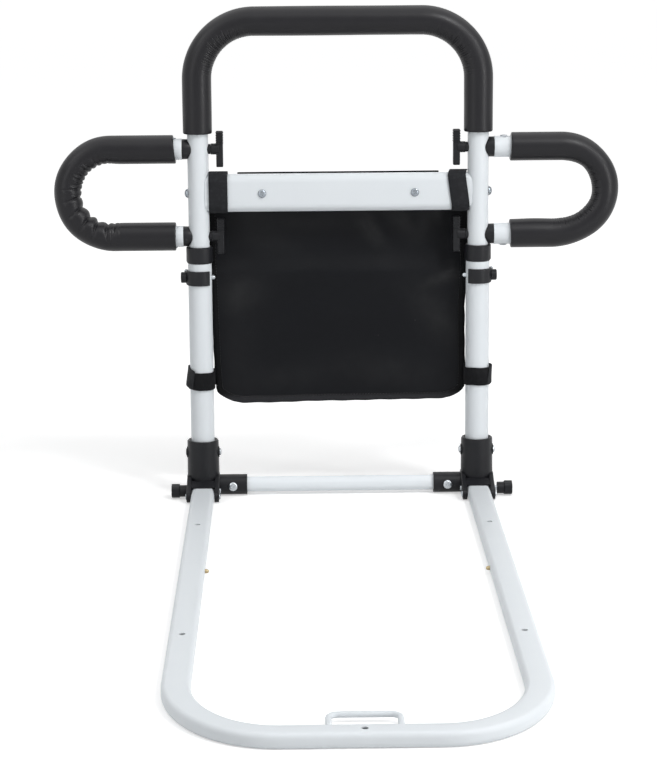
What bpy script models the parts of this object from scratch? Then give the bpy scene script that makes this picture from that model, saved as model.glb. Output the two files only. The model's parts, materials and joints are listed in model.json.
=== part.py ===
"""A bed rail: a U-shaped base that lies under the mattress, folding brackets, telescoping uprights
under a padded arch, two padded side handles and a fabric pouch.

Metres, +Z up. The floor is z = 0, the uprights stand on the plane y = 0 and the base reaches
forward, toward -Y. The frame is symmetric about x = 0, apart from the wire loop, the depth of the
clamp knobs and the place of the side grips.
"""

import math

import bmesh
import bpy
from mathutils import Matrix, Vector

# Clearances
FIT = 0.0004
SEAT = 0.0003
HOLE_GAP = 0.0005

# Uprights
UPRIGHT_X = 0.168
UPPER_R = 0.0127
UPPER_WALL = 0.0015
UPPER_FOOT_Z = 0.165
ARCH_Z = 0.5771
ARCH_BEND_R = 0.0685
LOWER_WALL = 0.0012
TUBE_SIDES = 16
HANDLE_SIDES = 12
BEND_STEPS = 5
HOLE_SIDES = 8
SCREW_SIDES = 10

# Height lock
PIN_Z = 0.2708
PIN_R = 0.003
PIN_TIP = 0.0047
HOLE_PITCH = 0.0136
HOLE_COUNT = 7
VENT_RISE = 0.0408
VENT_R = 0.0028
CLIP_WALL = 0.0022
CLIP_HEIGHT = 0.0176
CLIP_MOUTH = math.radians(41)
CLIP_BOSS_R = 0.0067
CLIP_BOSS = 0.0062
COLLAR_WALL = 0.00145
COLLAR_HEIGHT = 0.020
COLLAR_LIP = 0.0026

# Foam grips
FOAM_WALL = 0.0043
TOP_GRIP_END_Z = 0.4445

# Cross beam
BEAM_Z = 0.373
BEAM_HEIGHT = 0.0456
BEAM_DEPTH = 0.021
BEAM_EDGE_R = 0.0098
BEAM_WALL = 0.0015
BEAM_BLOCK = 0.030
BEAM_BOLT_REACH = 0.036
SCREW_R = 0.0020
BEAM_SCREW_X = 0.0916
BEAM_BOLT_R = 0.003
DOME_R = 0.0056
DOME_HEIGHT = 0.0040
PAN_R = 0.0050
PAN_HEIGHT = 0.0020

# Side handles
HANDLE_LOW_Z = 0.3209
HANDLE_HIGH_Z = 0.4260
HANDLE_REACH_L = 0.1560
HANDLE_REACH_R = 0.1520
HANDLE_EASE_L = 0.0020
HANDLE_EASE_R = 0.0130
HANDLE_END = 0.019
GRIP_START_L = 0.0278
GRIP_START_R = 0.0388
PLUG_SHOULDER = 0.00055
PLUG_SPIGOT = 0.024
PLUG_SCREW_X = 0.0305
PLUG_SCREW_R = 0.0047
PLUG_SCREW_HEAD = 0.0012

# T-knobs
STUD_R = 0.003
STUD_REACH = 0.026
WASHER_R = 0.0062
WASHER_WALL = 0.0020
HUB_R = 0.0067
HUB_LENGTH = 0.0067
BAR_THICK = 0.0082
BAR_LENGTH = 0.0430
BAR_WIDTH = 0.0115

# Hinge brackets
SOCKET_WALL = 0.0045
SOCKET_TOP_Z = 0.0697
SOCKET_FLOOR_Z = 0.024
EAR_WALL = 0.0055
PIVOT_Y = -0.040
PIVOT_Z = 0.0075
PIVOT_R = 0.0026
NOSE_R = 0.0072
BRIDGE_TOP_Z = 0.021
BLOCK_REAR_Y = 0.0165
BLOCK_FRONT_Y = -0.0035
CLAMP_Y = -0.018
CLAMP_Z = 0.0093
CLAMP_R = 0.003
SOCKET_BOLT_Z = 0.054
SOCKET_BOLT_R = 0.003
SOCKET_HEAD_R = 0.0047
SOCKET_HEAD = 0.0022
SOCKET_BOSS = 0.0007

# Crossbar
CROSSBAR_R = 0.0095
CROSSBAR_WALL = 0.0012
CROSSBAR_Z = 0.0127
CROSSBAR_END = 0.144
SIDE_SOCKET_WALL = 0.0027
SIDE_SOCKET_X = 0.1145
CROSSBAR_SCREW_X = 0.1317
CROSSBAR_SCREW_R = 0.0024

# Clamp knobs
KNOB_HUB_R = 0.0072
KNOB_HUB = 0.0084
KNOB_HEAD_R = 0.0088
KNOB_HEAD = 0.0101
KNOB_LUGS = 5
KNOB_OUT_L = 0.0005
KNOB_OUT_R = 0.0040

# Base frame
LEG_WIDTH = 0.0277
LEG_HEIGHT = 0.0150
LEG_EDGE_R = 0.0053
LEG_WALL = 0.0015
LEG_END_Y = -0.024
CORNER_Y = -0.7494
BAR_Y = -0.8854
CORNER_HALF_X = 0.096
CORNER_STEPS = 6
LEG_HOLE_R = 0.0033
LEG_HOLE_NEAR_Y = -0.1985
LEG_HOLE_FAR_Y = -0.6113
BAR_HOLE_X = 0.0025

# Spring buttons in the legs
BUTTON_Y = -0.366
BUTTON_R = 0.0025
BUTTON_OUT = 0.0043
BUTTON_FLANGE_R = 0.0032
BUTTON_FLANGE = 0.0010
LEAF_WALL = 0.0008
LEAF_WIDTH = 0.0050
LEAF_LENGTH = 0.042

# Wire loop on the front bar
LOOP_WIRE_R = 0.0030
LOOP_X = 0.0036
LOOP_HALF = 0.0323
LOOP_DEPTH = 0.0436
LOOP_BEND_R = 0.009
LOOP_Z = 0.0070

# Pouch and straps
POUCH_LAP = 0.0003
POUCH_TOP_HALF = 0.1215
POUCH_TOP_Z = 0.3965
POUCH_BOTTOM_Z = 0.1125
POUCH_WALL = 0.0016
POUCH_BULGE = 0.020
POUCH_MOUTH_DROP = 0.052
POUCH_CORNER = 0.0165
POUCH_RIPPLE = 0.0008
KNOB_BAY = 0.052
KNOB_ROOM = 0.0026
STRAP_WALL = 0.0014
STRAP_TAB = 0.024
BEAM_STRAP_WIDTH = 0.0215
TUBE_STRAP_LOW_L = 0.1333
TUBE_STRAP_LOW_R = 0.1360
TUBE_STRAP_HEIGHT = 0.0225

# Finishes: colour, roughness, metallic
WHITE_PAINT = ((0.70, 0.72, 0.76), 0.32, 0.0)
BLACK_PLASTIC = ((0.030, 0.031, 0.035), 0.45, 0.0)
BLACK_FOAM = ((0.033, 0.033, 0.036), 0.55, 0.0)
ZINC = ((0.62, 0.64, 0.66), 0.28, 1.0)
BRASS = ((0.52, 0.42, 0.24), 0.35, 1.0)
SPRING_STEEL = ((0.40, 0.41, 0.43), 0.35, 1.0)
POUCH_CLOTH = ((0.020, 0.020, 0.024), 0.85, 0.0)
WEBBING = ((0.024, 0.024, 0.027), 0.80, 0.0)

# Sizes that follow from the ones above
LOWER_R = UPPER_R + FIT + LOWER_WALL
SOCKET_BORE_R = LOWER_R + FIT
SOCKET_R = SOCKET_BORE_R + SOCKET_WALL
COLLAR_R = LOWER_R + FIT + COLLAR_WALL
GRIP_R = UPPER_R + FIT + FOAM_WALL
CLIP_R = LOWER_R + FIT + CLIP_WALL
HANDLE_BEND_R = (HANDLE_HIGH_Z - HANDLE_LOW_Z) / 2
HANDLE_END_X = UPRIGHT_X + HANDLE_END
PLUG_R = UPPER_R - PLUG_SHOULDER
COLLAR_TOP_Z = HANDLE_LOW_Z - PLUG_R - SEAT
LOWER_TOP_Z = COLLAR_TOP_Z - COLLAR_LIP - SEAT
BEAM_END_X = UPRIGHT_X - SEAT
WASHER_X = UPRIGHT_X - UPPER_R - SEAT - WASHER_WALL
HUB_X = WASHER_X - SEAT
EAR_OUT_X = UPRIGHT_X + LEG_WIDTH / 2 + FIT + EAR_WALL
EAR_IN_X = UPRIGHT_X - LEG_WIDTH / 2 - FIT - EAR_WALL
SIDE_SOCKET_R = CROSSBAR_R + FIT + SIDE_SOCKET_WALL
BRIDGE_LOW_Z = LEG_HEIGHT + SEAT
POUCH_HALF = UPRIGHT_X - LOWER_R + POUCH_LAP
POUCH_Y = BEAM_DEPTH / 2 + STRAP_WALL + 2 * SEAT + FIT
BOSS_REACH = SOCKET_R + SOCKET_BOSS
SIDES = {"L": -1, "R": 1}
X_AXIS = Vector((1, 0, 0))
Z_AXIS = Vector((0, 0, 1))


# Scene and materials


def clear_scene():
    for obj in list(bpy.data.objects):
        bpy.data.objects.remove(obj, do_unlink=True)
    for mesh in list(bpy.data.meshes):
        bpy.data.meshes.remove(mesh)


def collection(name):
    made = bpy.data.collections.new(name)
    bpy.context.scene.collection.children.link(made)
    return made


def material(name, colour, roughness, metallic):
    made = bpy.data.materials.new(name)
    made.use_nodes = True
    shader = made.node_tree.nodes["Principled BSDF"]
    shader.inputs["Base Color"].default_value = (*colour, 1)
    shader.inputs["Roughness"].default_value = roughness
    shader.inputs["Metallic"].default_value = metallic
    made.diffuse_color = (*colour, 1)
    return made


def finish(obj, name, look, parent=None, angle=35):
    obj.name = name
    obj.data.name = name
    obj.data.materials.clear()
    obj.data.materials.append(material(name, *look))
    obj.data.shade_smooth()
    obj.data.set_sharp_from_angle(angle=math.radians(angle))
    for used in list(obj.users_collection):
        used.objects.unlink(obj)
    PARTS.objects.link(obj)
    if parent:
        bpy.context.view_layer.update()
        obj.parent = parent
        obj.matrix_parent_inverse = parent.matrix_world.inverted()
    return obj


def joint_empty(name, place, parent=None):
    empty = bpy.data.objects.new(name, None)
    empty.empty_display_size = 0.01
    empty.location = place
    PARTS.objects.link(empty)
    bpy.context.view_layer.update()
    if parent:
        empty.parent = parent
        empty.matrix_parent_inverse = parent.matrix_world.inverted()
        bpy.context.view_layer.update()
    return empty


# Solids


def object_from(bm):
    bmesh.ops.recalc_face_normals(bm, faces=bm.faces)
    closed = all(len(edge.link_faces) == 2 for edge in bm.edges)
    if closed and bm.calc_volume(signed=True) < 0:
        bmesh.ops.reverse_faces(bm, faces=bm.faces)
    mesh = bpy.data.meshes.new("work")
    bm.to_mesh(mesh)
    bm.free()
    obj = bpy.data.objects.new("work", mesh)
    WORKSHOP.objects.link(obj)
    return obj


def applied(obj):
    """The object with its modifiers, or its curve, turned into a welded mesh in place."""
    graph = bpy.context.evaluated_depsgraph_get()
    graph.update()
    mesh = bpy.data.meshes.new_from_object(obj.evaluated_get(graph))
    mesh.transform(obj.matrix_world)
    bm = bmesh.new()
    bm.from_mesh(mesh)
    bmesh.ops.remove_doubles(bm, verts=bm.verts, dist=0.000002)
    bpy.data.meshes.remove(mesh)
    bpy.data.objects.remove(obj, do_unlink=True)
    return object_from(bm)


def toward(direction, place):
    turn = Z_AXIS.rotation_difference(Vector(direction).normalized()).to_matrix().to_4x4()
    return Matrix.Translation(place) @ turn


def rod(start, end, radius, sides=16, end_radius=None):
    start, end = Vector(start), Vector(end)
    bm = bmesh.new()
    bmesh.ops.create_cone(
        bm,
        cap_ends=True,
        segments=sides,
        radius1=radius,
        radius2=radius if end_radius is None else end_radius,
        depth=(end - start).length,
        matrix=toward(end - start, (start + end) / 2),
    )
    return object_from(bm)


def box(low, high):
    low, high = Vector(low), Vector(high)
    size = high - low
    bm = bmesh.new()
    bmesh.ops.create_cube(
        bm, size=1, matrix=Matrix.Translation((low + high) / 2) @ Matrix.Diagonal((*size, 1))
    )
    return object_from(bm)


def turned(profile, place, direction, sides=16):
    """A profile of (radius, height) pairs, turned about an axis; an open end lies on the axis."""
    bm = bmesh.new()
    points = [bm.verts.new((r, 0, h)) for r, h in profile]
    for a, b in zip(points, points[1:]):
        bm.edges.new((a, b))
    if min(profile[0][0], profile[-1][0]) > 0:
        bm.edges.new((points[-1], points[0]))
    mesh = bpy.data.meshes.new("profile")
    bm.to_mesh(mesh)
    bm.free()
    obj = bpy.data.objects.new("turned", mesh)
    WORKSHOP.objects.link(obj)
    screw = obj.modifiers.new("Screw", "SCREW")
    screw.steps = sides
    screw.render_steps = sides
    screw.use_merge_vertices = True
    screw.merge_threshold = 0.00001
    obj.matrix_world = toward(direction, place)
    bpy.context.view_layer.update()
    return applied(obj)


def outline_solid(loops, thick, frame):
    """Closed 2D outlines, the later ones holes in the first, filled and extruded about their plane."""
    curve = bpy.data.curves.new("outline", "CURVE")
    curve.dimensions = "2D"
    curve.fill_mode = "BOTH"
    curve.extrude = thick / 2
    for loop in loops:
        spline = curve.splines.new("POLY")
        spline.points.add(len(loop) - 1)
        for point, (u, v) in zip(spline.points, loop):
            point.co = (u, v, 0, 1)
        spline.use_cyclic_u = True
    obj = bpy.data.objects.new("outline", curve)
    WORKSHOP.objects.link(obj)
    obj.matrix_world = frame
    bpy.context.view_layer.update()
    return applied(obj)


def swept(points, radius, sides, capped=True):
    """A round bar, or with open ends its bare surface, along a path."""
    curve = bpy.data.curves.new("path", "CURVE")
    curve.dimensions = "3D"
    curve.bevel_depth = radius
    curve.bevel_resolution = sides // 2 - 2
    curve.use_fill_caps = capped
    spline = curve.splines.new("POLY")
    spline.points.add(len(points) - 1)
    for point, place in zip(spline.points, points):
        point.co = (*place, 1)
    obj = bpy.data.objects.new("path", curve)
    WORKSHOP.objects.link(obj)
    bpy.context.view_layer.update()
    return applied(obj)


def swept_outline(points, outline):
    """The bare surface of an outline of (across, up) pairs swept along a level path."""
    section = bpy.data.curves.new("section", "CURVE")
    section.dimensions = "2D"
    spline = section.splines.new("POLY")
    spline.points.add(len(outline) - 1)
    for point, (u, v) in zip(spline.points, outline):
        point.co = (u, v, 0, 1)
    spline.use_cyclic_u = True
    shape = bpy.data.objects.new("section", section)
    WORKSHOP.objects.link(shape)
    curve = bpy.data.curves.new("path", "CURVE")
    curve.dimensions = "3D"
    curve.twist_mode = "Z_UP"
    curve.bevel_mode = "OBJECT"
    curve.bevel_object = shape
    spline = curve.splines.new("POLY")
    spline.points.add(len(points) - 1)
    for point, place in zip(spline.points, points):
        point.co = (*place, 1)
    obj = bpy.data.objects.new("path", curve)
    WORKSHOP.objects.link(obj)
    bpy.context.view_layer.update()
    made = applied(obj)
    bpy.data.objects.remove(shape, do_unlink=True)
    return made


def walled(obj, wall):
    """An open surface given a wall on its inner side."""
    solid = obj.modifiers.new("Solidify", "SOLIDIFY")
    solid.thickness = wall
    solid.offset = -1
    solid.use_even_offset = True
    return applied(obj)


def rounded(obj, width, segments=2, angle=40):
    bevel = obj.modifiers.new("Bevel", "BEVEL")
    bevel.width = width
    bevel.segments = segments
    bevel.limit_method = "ANGLE"
    bevel.angle_limit = math.radians(angle)
    return applied(obj)


def combined(obj, tools, operation):
    for tool in tools:
        boolean = obj.modifiers.new("Boolean", "BOOLEAN")
        boolean.operation = operation
        boolean.solver = "EXACT"
        boolean.object = tool
        tool.hide_render = True
        tool.display_type = "WIRE"
    made = applied(obj)
    for tool in tools:
        bpy.data.objects.remove(tool, do_unlink=True)
    return made


def plain(obj):
    """Neighbouring faces that lie in one plane made into one face."""
    bm = bmesh.new()
    bm.from_mesh(obj.data)
    bmesh.ops.dissolve_limit(bm, angle_limit=0.001, verts=bm.verts, edges=bm.edges)
    bm.to_mesh(obj.data)
    bm.free()
    return obj


def cut(obj, tools):
    return combined(obj, tools, "DIFFERENCE")


def fused(obj, tools):
    return combined(obj, tools, "UNION")


# Paths and outlines


def arc(centre, radius, start, end, steps):
    """Points (u, v) on an arc, both ends included; radius may be a pair of half axes."""
    ru, rv = radius if isinstance(radius, tuple) else (radius, radius)
    turns = [start + (end - start) * i / steps for i in range(steps + 1)]
    return [(centre[0] + ru * math.cos(t), centre[1] + rv * math.sin(t)) for t in turns]


def rounded_rectangle(width, height, radius, steps=3):
    u, v = width / 2 - radius, height / 2 - radius
    points = []
    for i, (cu, cv) in enumerate(((u, v), (-u, v), (-u, -v), (u, -v))):
        points += arc((cu, cv), radius, i * math.pi / 2, (i + 1) * math.pi / 2, steps)
    return points


def without_repeats(points):
    kept = [points[0]]
    for point in points[1:]:
        if (Vector(point) - Vector(kept[-1])).length > 0.00005:
            kept.append(point)
    return kept


def arch_path(foot_z):
    """Up the left upright, over the arch and down the right one."""
    x, z = UPRIGHT_X - ARCH_BEND_R, ARCH_Z - ARCH_BEND_R
    left = arc((-x, z), ARCH_BEND_R, math.pi, math.pi / 2, BEND_STEPS)
    right = arc((x, z), ARCH_BEND_R, math.pi / 2, 0, BEND_STEPS)
    flat = [(-UPRIGHT_X, foot_z), *left, *right, (UPRIGHT_X, foot_z)]
    return [(u, 0, v) for u, v in without_repeats(flat)]


def handle_path(side, start_x):
    """Out along the lower leg of a side handle, round its eased bend and back along the upper leg."""
    reach, ease = (HANDLE_REACH_R, HANDLE_EASE_R) if side > 0 else (HANDLE_REACH_L, HANDLE_EASE_L)
    out_x, middle = UPRIGHT_X + reach, (HANDLE_LOW_Z + HANDLE_HIGH_Z) / 2
    run = HANDLE_BEND_R + ease
    low = arc((out_x - run, middle), (run, HANDLE_BEND_R), -math.pi / 2, 0, BEND_STEPS)
    high = arc((out_x - HANDLE_BEND_R, middle), HANDLE_BEND_R, 0, math.pi / 2, BEND_STEPS)
    flat = [(start_x, HANDLE_LOW_Z), *low, *high, (start_x, HANDLE_HIGH_Z)]
    return [(side * u, 0, v) for u, v in without_repeats(flat)]


def base_path():
    """From the rear end of the left leg round the front bar to the rear end of the right leg."""
    x, rise = UPRIGHT_X - CORNER_HALF_X, CORNER_Y - BAR_Y
    left = arc((-x, CORNER_Y), (CORNER_HALF_X, rise), math.pi, 1.5 * math.pi, CORNER_STEPS)
    right = arc((x, CORNER_Y), (CORNER_HALF_X, rise), 1.5 * math.pi, 2 * math.pi, CORNER_STEPS)
    flat = [(-UPRIGHT_X, LEG_END_Y), *left, *right, (UPRIGHT_X, LEG_END_Y)]
    return [(u, v, LEG_HEIGHT / 2) for u, v in without_repeats(flat)]


# Base frame


def base_frame():
    outline = rounded_rectangle(LEG_WIDTH, LEG_HEIGHT, LEG_EDGE_R, 2)
    frame = walled(swept_outline(base_path(), without_repeats(outline)), LEG_WALL)
    above, middle = LEG_HEIGHT + 0.002, LEG_HEIGHT / 2
    holes = [rod((BAR_HOLE_X, BAR_Y, middle), (BAR_HOLE_X, BAR_Y, above), LEG_HOLE_R, HOLE_SIDES)]
    for side in SIDES.values():
        x = side * UPRIGHT_X
        for y in (LEG_HOLE_NEAR_Y, LEG_HOLE_FAR_Y):
            holes.append(rod((x, y, middle), (x, y, above), LEG_HOLE_R, HOLE_SIDES))
        inner = side * (UPRIGHT_X - LEG_WIDTH)
        holes.append(rod((x, BUTTON_Y, middle), (inner, BUTTON_Y, middle), BUTTON_R + HOLE_GAP, HOLE_SIDES))
        outer = side * (UPRIGHT_X + LEG_WIDTH)
        holes.append(
            rod((inner, PIVOT_Y, PIVOT_Z), (outer, PIVOT_Y, PIVOT_Z), PIVOT_R + HOLE_GAP, HOLE_SIDES)
        )
        wire_x = LOOP_X + side * LOOP_HALF
        holes.append(
            rod((wire_x, BAR_Y, LOOP_Z), (wire_x, BAR_Y + LEG_WIDTH, LOOP_Z), LOOP_WIRE_R + FIT, HOLE_SIDES)
        )
    finish(cut(frame, holes), "base_frame", WHITE_PAINT)


def strap_loop():
    """A wire staple whose ends sit in the rear wall of the front bar."""
    wall_y = BAR_Y + LEG_WIDTH / 2
    end_y, far_y = wall_y - 2 * LEG_WALL, wall_y + LOOP_DEPTH
    low, high = LOOP_X - LOOP_HALF, LOOP_X + LOOP_HALF
    r = LOOP_BEND_R
    left = arc((low + r, far_y - r), r, math.pi, math.pi / 2, 4)
    right = arc((high - r, far_y - r), r, math.pi / 2, 0, 4)
    flat = [(low, end_y), *left, *right, (high, end_y)]
    path = [(u, v, LOOP_Z) for u, v in flat]
    finish(swept(path, LOOP_WIRE_R, 10), "strap_loop", WHITE_PAINT)


def leg_button(label, side):
    """A round-nosed pin with a flange that stops it behind the inner wall of the leg."""
    face = LEG_WIDTH / 2
    inside = face - LEG_WALL - 3 * SEAT
    profile = [
        (0, face + BUTTON_OUT),
        (BUTTON_R * 0.45, face + BUTTON_OUT),
        (BUTTON_R * 0.85, face + BUTTON_OUT * 0.72),
        (BUTTON_R, face + BUTTON_OUT * 0.3),
        (BUTTON_R, inside),
        (BUTTON_FLANGE_R, inside),
        (BUTTON_FLANGE_R, inside - BUTTON_FLANGE),
        (0, inside - BUTTON_FLANGE),
    ]
    place = (side * UPRIGHT_X, BUTTON_Y, LEG_HEIGHT / 2)
    pivot = joint_empty(f"leg_button_{label}_slide", place)
    button = turned(profile, place, (-side, 0, 0), SCREW_SIDES)
    finish(button, f"leg_button_{label}", BRASS, pivot)


def leg_spring(label, side):
    """A bent leaf: one arm lies on the outer wall of the leg, the other presses on the button."""
    room = LEG_WIDTH / 2 - LEG_WALL
    press = room - 4 * SEAT - BUTTON_FLANGE - LEAF_WALL / 2
    rest = room - 2 * SEAT - LEAF_WALL / 2
    tip_y, back_y = BUTTON_Y - 0.006, BUTTON_Y + LEAF_LENGTH
    centre_line = [
        (side * (UPRIGHT_X - press), tip_y),
        (side * (UPRIGHT_X - press), BUTTON_Y + 0.006),
        (side * UPRIGHT_X, back_y - 0.004),
        (side * (UPRIGHT_X + rest * 0.7), back_y),
        (side * (UPRIGHT_X + rest), back_y - 0.006),
        (side * (UPRIGHT_X + rest), tip_y),
    ]
    ribbon = band_outline(centre_line, LEAF_WALL)
    leaf = outline_solid([ribbon], LEAF_WIDTH, Matrix.Translation((0, 0, LEG_HEIGHT / 2)))
    finish(leaf, f"leg_spring_{label}", SPRING_STEEL)


def band_outline(line, thick):
    """A strip of even thickness about an open line of (u, v) points."""
    points = [Vector(p) for p in line]
    left, right = [], []
    for i, point in enumerate(points):
        before = points[max(i - 1, 0)]
        after = points[min(i + 1, len(points) - 1)]
        a = (point - before).normalized() if i else (after - point).normalized()
        b = (after - point).normalized() if i < len(points) - 1 else a
        along = (a + b).normalized()
        normal = Vector((-along.y, along.x)) * (thick / 2 / max(along.dot(a), 0.5))
        left.append(tuple(point + normal))
        right.append(tuple(point - normal))
    return left + right[::-1]


# Hinge brackets


def ear(side, x_low, x_high):
    """A clevis cheek: a rounded nose about the pivot, rising to the foot of the socket."""
    nose = arc((PIVOT_Y, PIVOT_Z), NOSE_R, math.radians(125), math.radians(270), 6)
    low = PIVOT_Z - NOSE_R
    outline = [
        (SOCKET_R * 0.50, BRIDGE_TOP_Z + 0.0050),
        (-SOCKET_R * 0.50, BRIDGE_TOP_Z + 0.0050),
        (-SOCKET_R, BRIDGE_TOP_Z + 0.0005),
        *nose,
        (BLOCK_REAR_Y - 0.003, low),
        (BLOCK_REAR_Y, low + 0.003),
        (BLOCK_REAR_Y, BRIDGE_TOP_Z),
    ]
    middle = side * (x_low + x_high) / 2
    frame = Matrix.Translation((middle, 0, 0)) @ yz_frame()
    return rounded(outline_solid([outline], x_high - x_low, frame), 0.0009, 1, 50)


def yz_frame():
    """A frame whose outline u runs along +Y and v along +Z."""
    return Matrix(((0, 0, 1, 0), (1, 0, 0, 0), (0, 1, 0, 0), (0, 0, 0, 1)))


def bracket_web(side):
    """The wall between the cheeks: a block behind the leg's end and a sloped bridge over it."""
    low = PIVOT_Z - NOSE_R + 0.0004
    rear = BLOCK_REAR_Y - 0.0006
    tip_y = PIVOT_Y + LEG_HEIGHT / 2 + 0.0015
    outline = [
        (-SOCKET_R, BRIDGE_TOP_Z),
        (tip_y, BRIDGE_LOW_Z + 0.0012),
        (tip_y, BRIDGE_LOW_Z),
        (BLOCK_FRONT_Y, BRIDGE_LOW_Z),
        (BLOCK_FRONT_Y, low),
        (rear - 0.003, low),
        (rear, low + 0.003),
        (rear, BRIDGE_TOP_Z),
    ]
    width = EAR_OUT_X - EAR_IN_X - 2 * EAR_WALL + 0.002
    frame = Matrix.Translation((side * UPRIGHT_X, 0, 0)) @ yz_frame()
    return outline_solid([outline], width, frame)


def hinge_bracket(label, side):
    x = side * UPRIGHT_X
    socket_profile = [
        (0, BRIDGE_TOP_Z - 0.004),
        (SOCKET_R - 0.0006, BRIDGE_TOP_Z - 0.004),
        (SOCKET_R + 0.0004, BRIDGE_TOP_Z + 0.006),
        (SOCKET_R, SOCKET_TOP_Z - 0.0012),
        (SOCKET_R - 0.0009, SOCKET_TOP_Z),
        (0, SOCKET_TOP_Z),
    ]
    body = turned(socket_profile, (x, 0, 0), (0, 0, 1), TUBE_SIDES)
    bosses = rod(
        (x - BOSS_REACH, 0, SOCKET_BOLT_Z), (x + BOSS_REACH, 0, SOCKET_BOLT_Z), 0.0068, 12
    )
    arm_end = side * (EAR_IN_X + EAR_WALL - 0.001)
    arm = rod((side * SIDE_SOCKET_X, 0, CROSSBAR_Z), (arm_end, 0, CROSSBAR_Z), SIDE_SOCKET_R, TUBE_SIDES)
    ears = [
        ear(side, EAR_OUT_X - EAR_WALL, EAR_OUT_X),
        ear(side, EAR_IN_X, EAR_IN_X + EAR_WALL),
    ]
    body = fused(body, [bracket_web(side), *ears, bosses, arm])
    above = SOCKET_TOP_Z + 0.01
    far = UPRIGHT_X + 0.05
    near = SIDE_SOCKET_X - 0.01
    tools = [
        rod((x, 0, SOCKET_FLOOR_Z), (x, 0, above), SOCKET_BORE_R, TUBE_SIDES),
        rod(
            (x, 0, SOCKET_TOP_Z - 0.003),
            (x, 0, SOCKET_TOP_Z + 0.001),
            SOCKET_BORE_R - 0.0005,
            TUBE_SIDES,
            SOCKET_BORE_R + 0.0030,
        ),
        rod(
            (side * near, 0, CROSSBAR_Z),
            (side * CROSSBAR_END, 0, CROSSBAR_Z),
            CROSSBAR_R + FIT,
            TUBE_SIDES,
        ),
        rod(
            (side * near, PIVOT_Y, PIVOT_Z),
            (side * far, PIVOT_Y, PIVOT_Z),
            PIVOT_R + HOLE_GAP,
            HOLE_SIDES,
        ),
        rod(
            (side * near, 0, SOCKET_BOLT_Z),
            (side * far, 0, SOCKET_BOLT_Z),
            SOCKET_BOLT_R + HOLE_GAP,
            HOLE_SIDES,
        ),
        rod(
            (side * (EAR_IN_X - 0.002), CLAMP_Y, CLAMP_Z),
            (side * far, CLAMP_Y, CLAMP_Z),
            CLAMP_R + HOLE_GAP,
            HOLE_SIDES,
        ),
        rod(
            (side * CROSSBAR_SCREW_X, -SIDE_SOCKET_R - 0.004, CROSSBAR_Z),
            (side * CROSSBAR_SCREW_X, 0, CROSSBAR_Z),
            CROSSBAR_SCREW_R + HOLE_GAP,
            HOLE_SIDES,
        ),
    ]
    finish(plain(cut(body, tools)), f"hinge_bracket_{label}", BLACK_PLASTIC, FOLD)


def pivot_bolt(label, side):
    """Low rivet heads on both cheeks and a shank through the leg."""
    inner, outer = UPRIGHT_X - EAR_IN_X + SEAT, EAR_OUT_X - UPRIGHT_X + SEAT
    profile = [
        (0, inner + 0.0020),
        (0.0024, inner + 0.0019),
        (0.0040, inner + 0.0008),
        (0.0040, inner),
        (PIVOT_R, inner),
        (PIVOT_R, -outer),
        (0.0040, -outer),
        (0.0037, -outer - 0.0009),
        (0, -outer - 0.0012),
    ]
    place = (side * UPRIGHT_X, PIVOT_Y, PIVOT_Z)
    finish(turned(profile, place, (-side, 0, 0), SCREW_SIDES), f"pivot_bolt_{label}", ZINC, FOLD)


def clamp(label, side, out):
    """A hand knob with a plain hub and a lobed head, on a stud threaded into the inner cheek."""
    hub_x = EAR_OUT_X + out
    head_x = hub_x + KNOB_HUB
    end_x = head_x + KNOB_HEAD
    pivot = joint_empty(f"clamp_{label}_turn", (side * EAR_OUT_X, CLAMP_Y, CLAMP_Z), FOLD)
    head = outline_solid(
        [lobed_outline(KNOB_HEAD_R, 0.0012, KNOB_LUGS)],
        KNOB_HEAD,
        Matrix.Translation((side * (head_x + end_x) / 2, CLAMP_Y, CLAMP_Z)) @ yz_frame(),
    )
    head = rounded(head, 0.0010, 1, 60)
    hub_end = side * (head_x + 0.001)
    hub = rod((side * hub_x, CLAMP_Y, CLAMP_Z), (hub_end, CLAMP_Y, CLAMP_Z), KNOB_HUB_R, 14)
    bore = rod(
        (side * (hub_x - 0.01), CLAMP_Y, CLAMP_Z),
        (side * (hub_x + 0.012), CLAMP_Y, CLAMP_Z),
        CLAMP_R + SEAT,
        12,
    )
    finish(plain(cut(fused(head, [hub]), [bore])), f"clamp_knob_{label}", BLACK_PLASTIC, pivot)
    stud = rod(
        (side * (EAR_IN_X - 0.002 + SEAT), CLAMP_Y, CLAMP_Z),
        (side * (hub_x + 0.012 - SEAT), CLAMP_Y, CLAMP_Z),
        CLAMP_R,
        12,
    )
    finish(stud, f"clamp_stud_{label}", ZINC, pivot)


def lobed_outline(radius, depth, lobes, steps=20):
    points = []
    for i in range(steps):
        turn = 2 * math.pi * i / steps
        r = radius - depth * (0.5 - 0.5 * math.cos(lobes * turn)) ** 2
        points.append((r * math.cos(turn), r * math.sin(turn)))
    return points


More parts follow.
